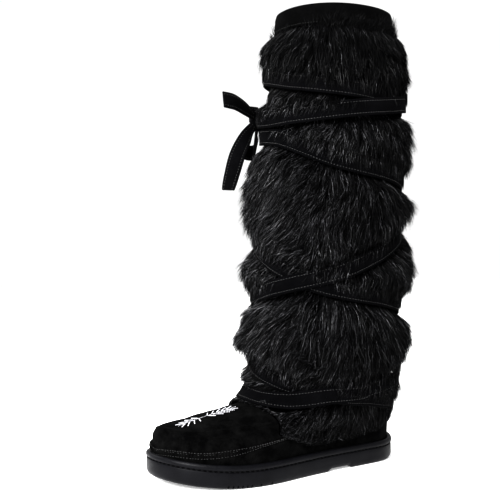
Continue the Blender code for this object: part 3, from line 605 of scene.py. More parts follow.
def cut_lugs(sole):
    """Cuts the grooves across the tread, and slits at the edge near the toe."""
    heel = [LUG_PITCH * (k - 0.5) for k in range(0, 4)]
    front = sole_y(WAIST_END + WAIST_RAMP) - LUG_PITCH
    count = int((front - sole_y(1.0)) / LUG_PITCH)
    bm = bmesh.new()
    boxes = []
    for y in heel + [front - LUG_PITCH * k for k in range(count)]:
        low, high = [way * sign for way, sign in zip(half_widths(y, LUG_MARGIN), (-1, 1))]
        boxes.append((low, high, y, LUG_GROOVE_WIDTH, LUG_GROOVE_DEPTH))
    for share in SLIT_SHARES:
        y = sole_y(share)
        medial, lateral = half_widths(y, 0.0)
        boxes.append((-medial - SLIT_OUT, -medial + SLIT_IN, y, SLIT_WIDTH, SLIT_DEPTH))
        boxes.append((lateral - SLIT_IN, lateral + SLIT_OUT, y, SLIT_WIDTH, SLIT_DEPTH))
    for low, high, y, width, rise in boxes:
        box = bmesh.ops.create_cube(bm, size=1.0)["verts"]
        depth = rise * 3
        bmesh.ops.scale(bm, verts=box, vec=Vector((high - low, width, depth)))
        top = float(spring(np.array(y))) + rise
        bmesh.ops.translate(bm, verts=box, vec=Vector(((low + high) / 2, y, top - depth / 2)))
    bmesh.ops.recalc_face_normals(bm, faces=bm.faces)
    mesh = bpy.data.meshes.new("lug_cutter")
    bm.to_mesh(mesh)
    bm.free()
    cutter = bpy.data.objects.new("lug_cutter", mesh)
    bpy.context.scene.collection.objects.link(cutter)
    cut = sole.modifiers.new("tread", "BOOLEAN")
    cut.operation = "DIFFERENCE"
    cut.object = cutter
    bpy.context.view_layer.update()
    evaluated = sole.evaluated_get(bpy.context.evaluated_depsgraph_get())
    cut_mesh = bpy.data.meshes.new_from_object(evaluated)
    sole.modifiers.clear()
    sole.data = cut_mesh
    bpy.data.objects.remove(cutter)


def build_insole():
    steps = 120
    inset = WALL_ROWS[0].inset + UPPER_WALL + GAP
    low = SOLE_THICKNESS - CUP_DEPTH + GAP
    profile = ((0, 0), (0, 0.7), (0.001, 0.95), (0.003, 1), (0.014, 0.97))  # inset, share of height
    rings = [
        sole_ring(inset + more, low + INSOLE_THICKNESS * share, 0, steps) for more, share in profile
    ]
    made = cap_ends(grid_object("fleece_footbed", np.array(rings), FLEECE), steps, True)
    return finish_piece(made, "footbed_fleece", "insole")


# Upper


# The soft ridge round the top of the toe
CREST_ROWS = table(
    "angle level",
    (0, 3.0), (10, 3.07), (20, 3.15), (30, 3.32), (40, 3.42),
)


CREST_HEIGHT, FOLD_HEIGHT, DIMPLE_HEIGHT = 0.0013, 0.00016, 0.00050
SUEDE_THICKNESS = 0.0014  # the lining fills the rest of the wall
PILE = 0.0005


def upper_offset(angle, level):
    """Faint folds across the vamp, dimples at the toe's wall and the ridge round the toe."""
    x = np.mod(angle + 180, 360) - 180
    vamp = ease(level, 2.9, 3.2) * (1 - ease(level, 3.85, 4.1)) * (1 - ease(np.abs(x), 40, 65))
    waves = np.sin(level * 23 + 0.05 * x) + 0.7 * np.sin(level * 41 - 0.13 * x + 1.3)
    wall = ease(level, 1.6, 2.1) * (1 - ease(level, 2.6, 2.95)) * (1 - ease(np.abs(x), 40, 60))
    dimples = np.sin(0.33 * x + 2.0) * np.sin(level * 5.0 + 0.10 * x)
    crest = smooth(CREST_ROWS, "level", np.abs(x))
    near = (level - crest + 0.012 * np.sin(x * 0.21)) / 0.045
    ridge = np.exp(-near * near) - 0.8 * np.exp(-((near + 1.9) ** 2))
    ridge = ridge * (1 - ease(np.abs(x), 38, 56)) * CREST_HEIGHT
    return vamp * FOLD_HEIGHT * waves + wall * DIMPLE_HEIGHT * dimples + ridge


def build_upper():
    angle = round_angles(240)
    levels = np.concatenate([
        np.linspace(0, 3, 40), np.linspace(3, 4, 60)[1:], np.linspace(4, 5, 14)[1:]
    ])
    rows = [off_skin(angle, level, upper_offset(angle, level)) for level in levels]
    rows += [off_skin(angle, level, -SUEDE_THICKNESS) for level in np.linspace(5, 0, 18)]
    made = grid_object("suede_upper", np.array(rows), SUEDE, True, True)
    return finish_piece(made, "black_suede", "upper")


def build_lining():
    """Fleece on the inside of the foot and shaft, up to just under the rim."""
    angle = round_angles(200)
    points = np.array([
        off_skin(angle, level, -UPPER_WALL) for level in np.linspace(0.05, 4.985, 60)
    ])
    lumps = rng.normal(size=points.shape[:2])
    for _ in range(2):
        lumps = (lumps + np.roll(lumps, 1, 0) + np.roll(lumps, 1, 1) + np.roll(lumps, -1, 1)) / 2.3
    centre = points.mean(1, keepdims=True)
    inward = unit((centre - points) * np.array([1, 1, 0]))
    points += inward * (PILE * np.clip(lumps, -0.5, 3)[..., None])
    made = grid_object("fleece_lining", points, FLEECE, True, False)
    return finish_piece(made, "footbed_fleece")


RAND_FOOT = 0.03
RAND_ROLL = 0.0004


def build_rand():
    """Closed strip over the skin, from just above the sole up to its edge."""
    angle = round_angles(320)
    high, outer = edge_level(RAND_TOP, angle), GAP + PANEL_THICKNESS
    rows = []
    for share in np.linspace(0.0, 1.0, 14):
        rim = 1 - 0.35 * ease(share, 0.9, 1.0)
        rows.append(off_skin(angle, RAND_FOOT + (high - RAND_FOOT) * share, outer * rim))
    rows.append(off_skin(angle, high, outer * 0.35) + np.array([0, 0, RAND_ROLL]))
    for share in (1.0, 0.5, 0.0):
        rows.append(off_skin(angle, RAND_FOOT + (high - RAND_FOOT) * share, GAP * 0.5))
    made = grid_object("suede_strip", np.array(rows), SUEDE, True, True)
    return finish_piece(made, "black_suede", "suede_rand")


def build_band():
    """Cuff from under its lower edge up and over the rim, with its row of stitches."""
    angle = round_angles(320)
    outer = GAP + BAND_THICKNESS
    rows = []
    for level, out, up in (
        (4.947, 0.0003, 0.0), (4.947, outer * 0.8, 0.0), (4.950, outer, 0.0),
        (4.960, outer * 1.15, 0.0), (4.972, outer * 1.20, 0.0), (4.982, outer * 1.14, 0.0),
        (4.990, outer * 1.0, 0.0), (4.996, outer * 0.75, 0.0), (5.0, outer * 0.35, 0.0007),
        (5.0, -0.0007, 0.0015), (5.0, -0.0018, 0.0019), (5.0, -0.0028, 0.0016),
        (5.0, -0.0036, 0.0008), (5.0, -0.0041, -0.0006), (4.99, -0.0042, -0.001),
        (4.975, -0.0038, 0.0),
    ):
        normal = skin_normal(angle, min(level, 4.97))
        wave = 0.00025 * np.sin(np.radians(angle) * 9 + level * 200) * (level < 4.99)
        rows.append(skin(angle, level) + normal * (out + wave)[:, None] + np.array([0, 0, up]))
    made = grid_object("suede_collar", np.array(rows), BAND_SUEDE, True, False)
    line, normal = skin_line(lambda a: 4.9535 + 0 * a, outer * 1.08)
    row = stitch_row(line, normal, 0.0029, SUEDE_STITCH, 0.0001)
    sew("collar_stitches", [row], 0.00022, GREY_THREAD, "black_suede")
    return finish_piece(made, "black_suede", "collar_band")


# Straps


def level_at(angle, height):
    low = np.full(np.shape(angle), RIDGE)
    high = np.full(np.shape(angle), COLLAR)
    for _ in range(20):
        middle = (low + high) / 2
        under = skin(angle, middle)[..., 2] < height
        low, high = np.where(under, middle, low), np.where(under, high, middle)
    return (low + high) / 2


def wrap_line(rows, way, step):
    count = int(round((rows[-1].turn - rows[0].turn) / step))
    turn = np.linspace(rows[0].turn, rows[-1].turn, count + 1)
    angle = way * turn
    level = level_at(angle, smooth(rows, "height", turn) * BOOT_HEIGHT)
    normal = skin_normal(angle, level)
    normal[:, 2] *= STRAP_TILT
    return turn, skin(angle, level), unit(normal)


def lifts_over(line, others, own):
    turn, points, _ = line
    lifts = np.zeros(len(turn))
    for i in range(len(turn)):
        rise = 0.0
        pools = [(other[1], other_lifts) for other, other_lifts in others]
        if own:
            early = turn[:i] < turn[i] - 180
            pools.append((points[:i][early], lifts[:i][early]))
        for pool, pool_lifts in pools:
            if len(pool):
                apart = np.linalg.norm(pool - points[i], axis=1)
                close = 1 - ease(apart, STRAP_WIDTH * 1.2, STRAP_WIDTH * 2.1)
                rise = max(rise, float(np.max((pool_lifts + STRAP_LIFT) * close)))
        lifts[i] = rise
    return lifts


def soften(values, rounds):
    for _ in range(rounds):
        middle = (values[:-2] + values[1:-1] * 2 + values[2:]) / 4
        values = np.concatenate([values[:1], middle, values[-1:]])
    return values


def ribbon_frames(points, normals):
    along = np.gradient(points, axis=0)
    across = unit(np.cross(normals, along))
    return across, unit(np.cross(along, across)), unit(along)


STRAP_SECTION = (  # share of the half width, share of the thickness
    (-1.0, 0.30), (-1.0, 0.72), (-0.95, 0.96), (-0.72, 0.93), (-0.66, 0.86), (-0.60, 0.95),
    (0.0, 1.0), (0.60, 0.95), (0.66, 0.86), (0.72, 0.93), (0.95, 0.96), (1.0, 0.72), (1.0, 0.30),
    (0.93, 0.0), (-0.93, 0.0),
)


def ribbon(name, points, normals, widths):
    """Strap along points, with rounded edges and a groove under each row of stitches."""
    across, up, _ = ribbon_frames(points, normals)
    half = (widths * STRAP_WIDTH / 2)[:, None]
    rows = [
        points + across * half * side + up * (STRAP_THICKNESS * rise) for side, rise in STRAP_SECTION
    ]
    made = grid_object(name, np.array(rows).transpose(1, 0, 2), STRAP_SUEDE)
    return cap_ends(made, len(STRAP_SECTION))


def stitches(name, starts, ends, outwards, radius, material):
    """Short rounded threads from starts to ends, standing a little outwards."""
    count = len(starts)
    along = unit(ends - starts)
    side = unit(np.cross(along, outwards))
    out = unit(np.cross(side, along))
    rings = []
    for share, size in ((0.0, 0.5), (0.5, 1.0), (1.0, 0.5)):
        centre = starts + (ends - starts) * share
        for k in range(4):
            turn = 2 * pi * (k + 0.5) / 4
            rings.append(centre + (side * cos(turn) + out * sin(turn)) * radius * size)
    points = np.array(rings).transpose(1, 0, 2).reshape(-1, 3)
    tris = [[0, 3, 2], [0, 2, 1], [8, 9, 10], [8, 10, 11]]
    for low in (0, 4):
        for k in range(4):
            n = (k + 1) % 4
            tris += [[low + k, low + n, low + 4 + n], [low + k, low + 4 + n, low + 4 + k]]
    faces = (np.array(tris)[None] + (np.arange(count) * 12)[:, None, None]).reshape(-1, 3)
    return new_object(name, points, faces, material)


SUEDE_STITCH, SUEDE_PITCH = 0.0017, 0.0027
STRAP_STITCH, STRAP_PITCH = 0.0012, 0.0030
SOLE_STITCH, SOLE_PITCH = 0.0035, 0.0050
STRAP_STITCH_INSET = 0.0026


def stitch_row(points, outwards, pitch, length, jitter=0.0):
    """Starts, ends and outward ways of stitches along a line."""
    way = way_along(points)
    count = int(way[-1] / pitch)
    at = (np.arange(count) + 0.5) * way[-1] / count
    at = at + rng.normal(size=count) * jitter

    def pick(values, where):
        return np.stack([np.interp(where, way, values[:, k]) for k in range(3)], -1)

    return pick(points, at - length / 2), pick(points, at + length / 2), unit(pick(outwards, at))


def sew(name, rows, radius, material, slot):
    """One piece of the stitches of all the rows."""
    starts, ends, outwards = [np.concatenate(part) for part in zip(*rows)]
    finish_piece(stitches(name, starts, ends, outwards, radius, material), slot)


def strap_stitches(points, normals, widths, face=0.93):
    """Stitches near both edges of a strap, at a share of its thickness."""
    across, up, _ = ribbon_frames(points, normals)
    rows = []
    for side in (-1, 1):
        half = (widths * STRAP_WIDTH / 2 - STRAP_STITCH_INSET)[:, None]
        line = points + across * half * side + up * (STRAP_THICKNESS * face)
        rows.append(stitch_row(line, up, STRAP_PITCH, STRAP_STITCH, 0.00014))
    return [np.concatenate(part) for part in zip(*rows)]


def knot_frame():
    """The skin's point under the knot, and the ways along, out and up."""
    angle = np.array([float(KNOT_ANGLE)])
    level = level_at(angle, KNOT_HEIGHT * BOOT_HEIGHT)
    out = unit(skin_normal(angle, level)[0] * np.array([1, 1, 0]))
    up = np.array([0.0, 0.0, 1.0])
    return skin(angle, level)[0], np.cross(up, out), out, up


RISING = wrap_line(RISING_WRAP, 1, 3)
FALLING = wrap_line(FALLING_WRAP, -1, 3)
FALLING_LIFTS = lifts_over(FALLING, [], True)
_ends = FALLING[0] < FALLING_WRAP[-1].turn - 50
RISING_LIFTS = lifts_over(
    RISING, [(tuple(part[_ends] for part in FALLING), FALLING_LIFTS[_ends])], False
)


def build_straps():
    stitched = []
    for name, node, line, lifts in (
        ("wrap_falling", "wrap_strap_falling", FALLING, FALLING_LIFTS),
        ("wrap_rising", "wrap_strap_rising", RISING, RISING_LIFTS),
    ):
        _, points, normals = line
        lifts = soften(lifts, 3)
        wobble = 0.0006 * np.sin(np.arange(len(points)) * 0.37)
        path = points + normals * (STRAP_STANDOFF + lifts + wobble)[:, None]
        widths = np.ones(len(path))
        finish_piece(ribbon(name, path, normals, widths), "strap_suede", node)
        stitched.append(strap_stitches(path, normals, widths))
    middle, along, out, up = knot_frame()
    middle = middle + out * STRAP_LIFT
    for name, rows, count, facing in (
        ("bow_loop_upper", UPPER_LOOP, 60, -1),
        ("bow_loop_lower", LOWER_LOOP, 60, -1),
        ("strap_end_upper", UPPER_END, 30, 1),
        ("strap_end_lower", LOWER_END, 40, 1),
    ):
        way = np.linspace(0, 1, count + 1)
        points = middle + sum(
            (smooth(rows, part, way) * STRAP_WIDTH + start)[:, None] * axis
            for part, axis, start in (
                ("along", along, facing * (KNOT_LENGTH / 2 + KNOT_GAP)),
                ("out", out, STRAP_STANDOFF + STRAP_THICKNESS + GAP),
                ("up", up, 0.0),
            )
        )
        lean = np.radians(smooth(rows, "lean", way))[:, None]
        side = up * np.cos(lean) + out * np.sin(lean)
        normals = unit(np.cross(np.gradient(points, axis=0), side)) * facing
        widths = smooth(rows, "width", way)
        finish_piece(ribbon(name + "_look", points, normals, widths), "strap_suede", name)
        stitched.append(strap_stitches(points, normals, widths))
        stitched.append(strap_stitches(points, normals, widths, 0.02))
    sew("strap_stitches", stitched, 0.00026, THREAD, "strap_suede")
    build_knot(middle, along, out, up)


def build_knot(middle, along, out, up):
    length, depth, height = KNOT_LENGTH, KNOT_DEPTH, KNOT_TALL
    low = STRAP_STANDOFF + STRAP_THICKNESS + GAP
    rows, cols = 20, 36
    points = np.zeros((rows, cols, 3))
    for i in range(rows):
        share = i / (rows - 1)
        swell = (1 - abs(2 * share - 1) ** 3.2) ** 0.5 * 0.42 + 0.58 if 0 < share < 1 else 0.5
        for k in range(cols):
            turn = 2 * pi * k / cols
            fold = 1 + 0.05 * sin(3 * turn + share * 5)
            away = low + depth / 2 + depth / 2 * swell * fold * cos(turn)
            points[i, k] = (
                middle + along * (length * swell / 2 * fold * sin(turn)) + out * away
                + up * (height * (share - 0.5))
            )
    made = cap_ends(grid_object("bow_knot_look", points, STRAP_SUEDE), cols)
    finish_piece(made, "strap_suede", "bow_knot")


# Fur

MAP_COLS, MAP_ROWS = 361, 401
FUR_REACH = 0.012  # how far the map runs below the fur's lower edge
LEFT_SWELL = 0.0045  # deeper fur low down on the side that faces left in the photo


def fur_map():
    """Arrays over angle and height: points, normals, fur depth, how far each point lies from either
    strap, how high the nearest strap stands, and each column's length."""
    angle = np.linspace(0, 360, MAP_COLS)
    foot = edge_level(FUR_FOOT, angle)
    fine = np.linspace(0, 1, 500)[:, None]
    under = np.maximum(foot - 1.4, 0.6)
    under = np.where(foot > 3.2, foot - 0.25, under)
    levels = under + (FUR_TOP - under) * fine
    points = skin(np.broadcast_to(angle, levels.shape), levels)
    steps = np.linalg.norm(np.diff(points, axis=0), axis=2)
    ways = np.concatenate([np.zeros((1, MAP_COLS)), np.cumsum(steps, axis=0)])
    rows_level = np.zeros((MAP_ROWS, MAP_COLS))
    spans = np.zeros(MAP_COLS)
    for k in range(MAP_COLS):
        at_foot = np.interp(foot[k], levels[:, k], ways[:, k])
        spans[k] = ways[-1, k] - at_foot
        way = np.linspace(at_foot - min(FUR_REACH, at_foot), ways[-1, k], MAP_ROWS)
        rows_level[:, k] = np.interp(way, ways[:, k], levels[:, k])
    grid = np.broadcast_to(angle, rows_level.shape)
    points, normals = skin(grid, rows_level), skin_normal(grid, rows_level)
    total = spans + FUR_REACH
    climb = (np.linspace(0, 1, MAP_ROWS)[:, None] * total - FUR_REACH) / spans
    depth = smooth(FUR_DEPTH, "depth", np.clip(climb, 0, 1))
    depth = depth * np.where(climb < 0, np.clip(1 + climb * 14, 0.25, 1), 1)
    flat = points.reshape(-1, 3)
    aparts, tops = [], []
    for line, lifts in ((RISING, RISING_LIFTS), (FALLING, FALLING_LIFTS)):
        middles = (line[1][1:] + line[1][:-1]) / 2
        pool = np.concatenate([line[1], middles])
        rise = np.concatenate([lifts, (lifts[1:] + lifts[:-1]) / 2])
        tree = KDTree(len(pool))
        for n, point in enumerate(pool):
            tree.insert(point, n)
        tree.balance()
        found = [tree.find(p) for p in flat]
        aparts.append(np.array([f[2] for f in found]).reshape(points.shape[:2]))
        tops.append(rise[np.array([f[1] for f in found])].reshape(points.shape[:2]))
    nearer = aparts[0] < aparts[1]
    apart = np.minimum(*aparts)
    top = np.where(nearer, *tops) + STRAP_STANDOFF + STRAP_THICKNESS
    knot = knot_frame()[0]
    pinch = ease(apart, STRAP_WIDTH * 0.52, STRAP_WIDTH * 0.5 + PINCH_REACH * 0.55)
    pinch = pinch * ease(np.linalg.norm(points - knot, axis=2), KNOT_DENT, KNOT_DENT_END)
    turned = turn_of(grid) * np.where(np.mod(grid, 360) > 180, -1, 1)
    left_side = ease(-turned, -12, 12) * (1 - ease(-turned, 65, 95))
    left_side = left_side * (1 - ease(climb, 0.66, 0.72))
    pinch = pinch + (1 - pinch) * 0.45 * left_side
    swell = LEFT_SWELL * left_side * ease(climb, 0.02, 0.08) * (1 - ease(climb, 0.20, 0.28))
    depth = depth + swell
    low = np.minimum(depth, FUR_UNDER_STRAP)
    return points, normals, low + (depth - low) * pinch, aparts[0], aparts[1], top, total


(MAP_POINTS, MAP_NORMALS, MAP_DEPTH, MAP_RISING, MAP_FALLING, MAP_TOP, MAP_LENGTH) = fur_map()


def sample(values, angle, row):
    """Bilinear values of a map at angles in degrees and rows from 0 to 1."""
    column = np.mod(angle, 360)
    column = np.clip(column, 0, MAP_COLS - 1.001)
    place = np.clip(row, 0, 0.99999) * (MAP_ROWS - 1)
    i, k = place.astype(int), column.astype(int)
    t, u = place - i, column - k
    if values.ndim == 3:
        t, u = t[..., None], u[..., None]
    return (
        values[i, k] * (1 - t) * (1 - u) + values[i + 1, k] * t * (1 - u)
        + values[i, k + 1] * (1 - t) * u + values[i + 1, k + 1] * t * u
    )


def off_map(angle, row, out):
    """Points at a distance out from the skin, by the map's angle and row."""
    normal = sample(MAP_NORMALS, angle, row)
    return sample(MAP_POINTS, angle, row) + normal * np.asarray(out)[..., None]


def strap_apart(angle, row):
    return np.minimum(sample(MAP_RISING, angle, row), sample(MAP_FALLING, angle, row))


def field(seed, cols, rows):
    """A smooth random field over the map, as a function of angle and row."""
    values = np.random.default_rng(seed).normal(size=(rows + 2, cols))

    def at(angle, row):
        x = np.mod(angle, 360) / 360 * cols
        y = np.clip(row, 0, 1) * rows
        i, k = np.floor(y).astype(int), np.floor(x).astype(int) % cols
        t, u = y - np.floor(y), x - np.floor(x)
        t, u = t * t * (3 - 2 * t), u * u * (3 - 2 * u)
        n = (k + 1) % cols
        return (
            values[i, k] * (1 - t) * (1 - u) + values[i + 1, k] * t * (1 - u)
            + values[i, n] * (1 - t) * u + values[i + 1, n] * t * u
        )

    return at


DRIFT = field(3, 14, 10)
SWIRL = field(5, 40, 30)
LUMP = field(9, 26, 22)


def build_undercoat():
    angle, low, high = round_angles(180)[None], 0.02, 0.999
    row, angle = np.broadcast_arrays(np.linspace(low, high, 130)[:, None], angle)
    share = 0.42 + 0.06 * LUMP(angle, row) + 0.05 * SWIRL(angle * 2, row)
    share = share * (1 - 0.5 * ease(row, 0.93, 0.99))
    out = np.clip(sample(MAP_DEPTH, angle, row) * share, 0.0016, FUR_UNDER_STRAP + 0.012)
    outer = off_map(angle, row, out)
    row, angle = np.broadcast_arrays(np.linspace(high, low, 12)[:, None], angle[:1])
    points = np.concatenate([outer, off_map(angle, row, 0.0008)])
    made = grid_object("fur_base", points, UNDERCOAT, True, True)
    return finish_piece(made, "black_fur", "fur_sleeve")


# How far the hair leans from straight down, in degrees, towards larger angles
LEAN_ROWS = table(
    "angle lean",
    (-180, 0), (-110, 12), (-60, 6), (-30, -16), (0, -28), (30, -25), (60, -16), (90, -6), (120, 2),
    (150, 5), (180, 0),
)
# Share of the hair that lies over a falling and over a rising strap
OVER_ROWS = table(
    "angle falling rising",
    (-180, 0.6, 0.5), (-60, 0.75, 0.7), (-25, 0.75, 0.7), (-5, 0.40, 0.30), (15, 0.40, 0.05),
    (50, 0.58, 0.12), (95, 0.65, 0.22), (125, 0.45, 0.15), (180, 0.6, 0.5),
)
CLUMP_PITCH = 0.0085
FUR_HEIGHT, FUR_GIRTH, FUR_RADIUS = 0.42, 0.52, 0.082  # of the fur laid flat, for locks and leans
TOP_FRINGE = 0.955  # row above which the hair is shorter and closer
LOCK_LENGTH, LOCK_HEIGHT, LOCK_LEAN = (0.84, 1.18), (0.62, 0.94), 8.0
STRAND_LENGTH, STRAND_HEIGHT = (0.62, 1.15), (0.68, 1.0)
ROOT_HEIGHT, LUMP_HEIGHT = 0.36, 0.08  # shares of the fur's depth
DRIFT_LEAN, SWIRL_LEAN, LEAN_SCATTER = 11, 9, 9  # degrees
FRIZZ, DROOP = 0.0011, 0.0025
PULL_POWER = 1.4  # how late along a strand its lock draws it in
FOOT_SQUEEZE = 0.06  # what is left of the way below the fur's lowest hair
HANG, HANG_SIDE = 0.0030, 0.0045
SHORTEST = 0.004
# Shares of a strap's width from its middle line: roots start outside the first, tips count as near
# it inside the second, and hair lies over it or stays under it inside the others
ROOT_CLEAR, NEAR_STRAP, OVER_STRAP, UNDER_STRAP = 0.24, 0.62, 0.68, 0.56
KEPT_OVER, KEPT_CLEAR = 0.88, 0.84  # least depth of a tip, as a share of its middle's
OVER_OUT, OVER_SPREAD, UNDER_OUT = 0.0006, 0.0022, 0.0005
CUFF_HAIR_ANGLE, CUFF_HAIR_LEVEL = (84, 20), (4.915, 4.945)
CUFF_HAIR_LENGTH, CUFF_HAIR_LEAN = (0.005, 0.017), (-0.25, 0.35)
CUFF_HAIR_OUT, CUFF_HAIR_SPREAD = 0.0035, (0.0005, 0.0035)
SHARES = (0.0, 0.5, 1.0)  # places of a strand's three points
TAPER = (0.9, 1.0, 0.0)


def clump_centres():
    """Root angle and row of each lock, on a jittered grid."""
    rows, cols = int(FUR_HEIGHT / CLUMP_PITCH), 60
    centres = []
    for i in range(rows):
        angle = (np.arange(cols) + 0.5 * (i % 2)) * 360 / cols + rng.normal(size=cols) * 2.0
        row = (i + 0.5) / rows + rng.normal(size=cols) * 0.007
        centres.append(np.stack([np.mod(angle, 360), row], -1))
    return np.concatenate(centres)


def overhang(angle):
    """How far the hair hangs below the fur's lower edge."""
    turn = turn_of(angle)
    return HANG + HANG_SIDE * ease(turn, 52, 75) * (1 - 0.5 * ease(turn, 110, 135))


def strands(count, length, width, clump, centres, tree, scale=1.0, glint_shade_thinning=False):
    """Three points along each strand, from its root, and its width."""
    angle = rng.uniform(0, 360, count)
    row = rng.uniform(0.0, 1.0, count)
    row[: count // 14] = rng.uniform(TOP_FRINGE, 1.0, count // 14)
    keep = strap_apart(angle, row) > STRAP_WIDTH * ROOT_CLEAR
    # Painted shade: fewer painted-glint strands near the top and towards the back, where less light
    # falls
    if glint_shade_thinning:  # the light hair thins out near the top and towards the back
        chance = (1 - 0.85 * ease(row, 0.76, 0.86)) * (1 - 0.72 * ease(turn_of(angle), 50, 95))
        keep = keep & (rng.random(count) < chance)
    angle, row = angle[keep], row[keep]
    count = len(angle)
    flat = np.stack([angle / 360 * FUR_GIRTH, row * FUR_HEIGHT], -1)
    nearest = np.array([tree.find((p[0], p[1], 0))[1] for p in flat]) % len(centres)
    centre = centres[nearest]
    locks = np.random.default_rng(21)
    lock_length = locks.uniform(*LOCK_LENGTH, len(centres))[nearest]
    lock_height = locks.uniform(*LOCK_HEIGHT, len(centres))[nearest]
    lock_lean = locks.normal(size=len(centres))[nearest] * LOCK_LEAN
    total = np.interp(angle, np.linspace(0, 360, MAP_COLS), MAP_LENGTH)
    reach = length * lock_length * rng.uniform(*STRAND_LENGTH, count)
    reach = np.where(row > TOP_FRINGE, reach * 0.75, reach)
    turned = np.mod(angle + 180, 360) - 180
    lean = smooth(LEAN_ROWS, "lean", turned) + DRIFT_LEAN * DRIFT(angle, row)
    lean = lean + SWIRL_LEAN * SWIRL(angle, row)
    lean = np.radians(lean + lock_lean + rng.normal(size=count) * LEAN_SCATTER)
    high = lock_height * rng.uniform(*STRAND_HEIGHT, count)
    high = high * (1 + LUMP_HEIGHT * LUMP(angle, row))
    odd = np.mod(centre[:, 0] - angle + 180, 360) - 180
    foot = FUR_REACH / total
    hang = rng.uniform(0.35, 1.0, count)
    frizz = rng.normal(size=count) * FRIZZ

    def place_at(s):
        """Angle and row of each strand at a share of its length."""
        travel = reach * s
        sideways = np.degrees((travel * np.sin(lean) + frizz * sin(pi * s)) / FUR_RADIUS)
        down = travel * np.cos(lean) / total
        pull = clump * np.power(s, PULL_POWER)
        at_angle = angle + odd * pull + sideways
        at_row = row + (centre[:, 1] - row) * pull - down
        low = foot - overhang(at_angle) * hang / total
        return at_angle, np.where(at_row < low, low + (at_row - low) * FOOT_SQUEEZE, at_row)

    over = np.zeros(count, bool)
    shares = np.linspace(0.0, 1.0, 9)
    for apart_map, kind in ((MAP_FALLING, "falling"), (MAP_RISING, "rising")):
        aparts = np.array([sample(apart_map, *place_at(s)) for s in shares])
        inside = aparts < STRAP_WIDTH * 0.5
        enters = inside.any(0) & ~inside[0]
        chance = smooth(OVER_ROWS, kind, turned)
        chance = chance + 0.4 * ease(0.80 - row, 0, 0.03) * ease(12 - turned, 0, 15) * (row > 0.12)
        if kind == "rising":
            chance = chance * (1 - ease(row, 0.70, 0.76) * (1 - ease(np.abs(turned - 20), 35, 60)))
        laid = rng.random(count) < chance
        across = reach * shares[np.argmin(aparts, axis=0)] + rng.uniform(-0.003, 0.0035, count)
        short = reach * (shares[np.argmax(inside, axis=0)] - 0.06)
        short = short + rng.uniform(-0.002, 0.001, count)
        stop = np.maximum(np.where(laid, across, short), SHORTEST)
        reach = np.where(enters, np.minimum(reach, stop), reach)
        over = over | (enters & laid)
    middle_depth = sample(MAP_DEPTH, *place_at(0.5))
    side_on = ease(-turned, 0, 15)
    points = []
    for s in SHARES:
        at_angle, at_row = place_at(s)
        depth = sample(MAP_DEPTH, at_angle, at_row)
        apart = strap_apart(at_angle, at_row)
        if s == 1.0:
            clear = KEPT_CLEAR * (apart > STRAP_WIDTH * NEAR_STRAP)
            kept = np.where(over, KEPT_OVER * side_on, clear)
            depth = np.maximum(depth, middle_depth * kept)
        out = depth * scale * (ROOT_HEIGHT + (high - ROOT_HEIGHT) * s**0.7)
        if s > 0:
            face = sample(MAP_TOP, at_angle, at_row)
            top = face + OVER_OUT + OVER_SPREAD * (1 - hang)
            out = np.where(over & (apart < STRAP_WIDTH * OVER_STRAP), np.maximum(out, top), out)
            below = face - STRAP_THICKNESS - UNDER_OUT
            out = np.where(~over & (apart < STRAP_WIDTH * UNDER_STRAP), np.minimum(out, below), out)
        place = off_map(at_angle, at_row, out)
        place[:, 2] -= DROOP * s * s
        points.append(place)
    return np.array(points).transpose(1, 0, 2), width * rng.uniform(0.7, 1.3, count)


def brushed_up(count, width):
    """Loose hair that stands up over the cuff, most of it on the little-toe side."""
    most = count * 4 // 5
    angle = np.concatenate([rng.normal(*CUFF_HAIR_ANGLE, most), rng.uniform(0, 360, count - most)])
    lone = np.arange(count) >= most
    angle = np.mod(angle, 360)
    level = rng.uniform(*CUFF_HAIR_LEVEL, count)
    tuft = 0.5 + 0.5 * np.sin(np.radians(angle) * 11 + 1.0) * np.sin(np.radians(angle) * 5)
    length = rng.uniform(*CUFF_HAIR_LENGTH, count) * (0.45 + 0.75 * tuft) * np.where(lone, 0.6, 1)
    root, normal = skin(angle, level), skin_normal(angle, level)
    tangent = unit(np.cross(normal, np.array([0.0, 0.0, 1.0])))
    side = rng.normal(*CUFF_HAIR_LEAN, count)[:, None]
    points = []
    for s in SHARES:
        out = CUFF_HAIR_OUT + rng.uniform(*CUFF_HAIR_SPREAD, count) * s + 0.0015 * s
        lift = np.array([0, 0, 1.0]) * (length * s)[:, None]
        points.append(root + normal * out[:, None] + lift + tangent * side * (length * s)[:, None])
    return np.array(points).transpose(1, 0, 2), width * rng.uniform(0.7, 1.2, count)


def strand_object(name, points, widths, material):
    """Flat tapering blades along strands of three points, three triangles each."""
    count = len(points)
    along = np.gradient(points, axis=1)
    spin = rng.normal(size=(count, 1, 3))
    side = unit(np.cross(along, spin))
    half = (widths[:, None] * np.array(TAPER))[..., None] / 2
    left, right = points - side * half, points + side * half
    verts = np.stack([left[:, 0], right[:, 0], left[:, 1], right[:, 1], points[:, 2]], axis=1)
    faces = np.array([[0, 1, 3], [0, 3, 2], [2, 3, 4]])
    faces = (faces[None] + (np.arange(count) * 5)[:, None, None]).reshape(-1, 3)
    return new_object(name, verts.reshape(-1, 3), faces, material)


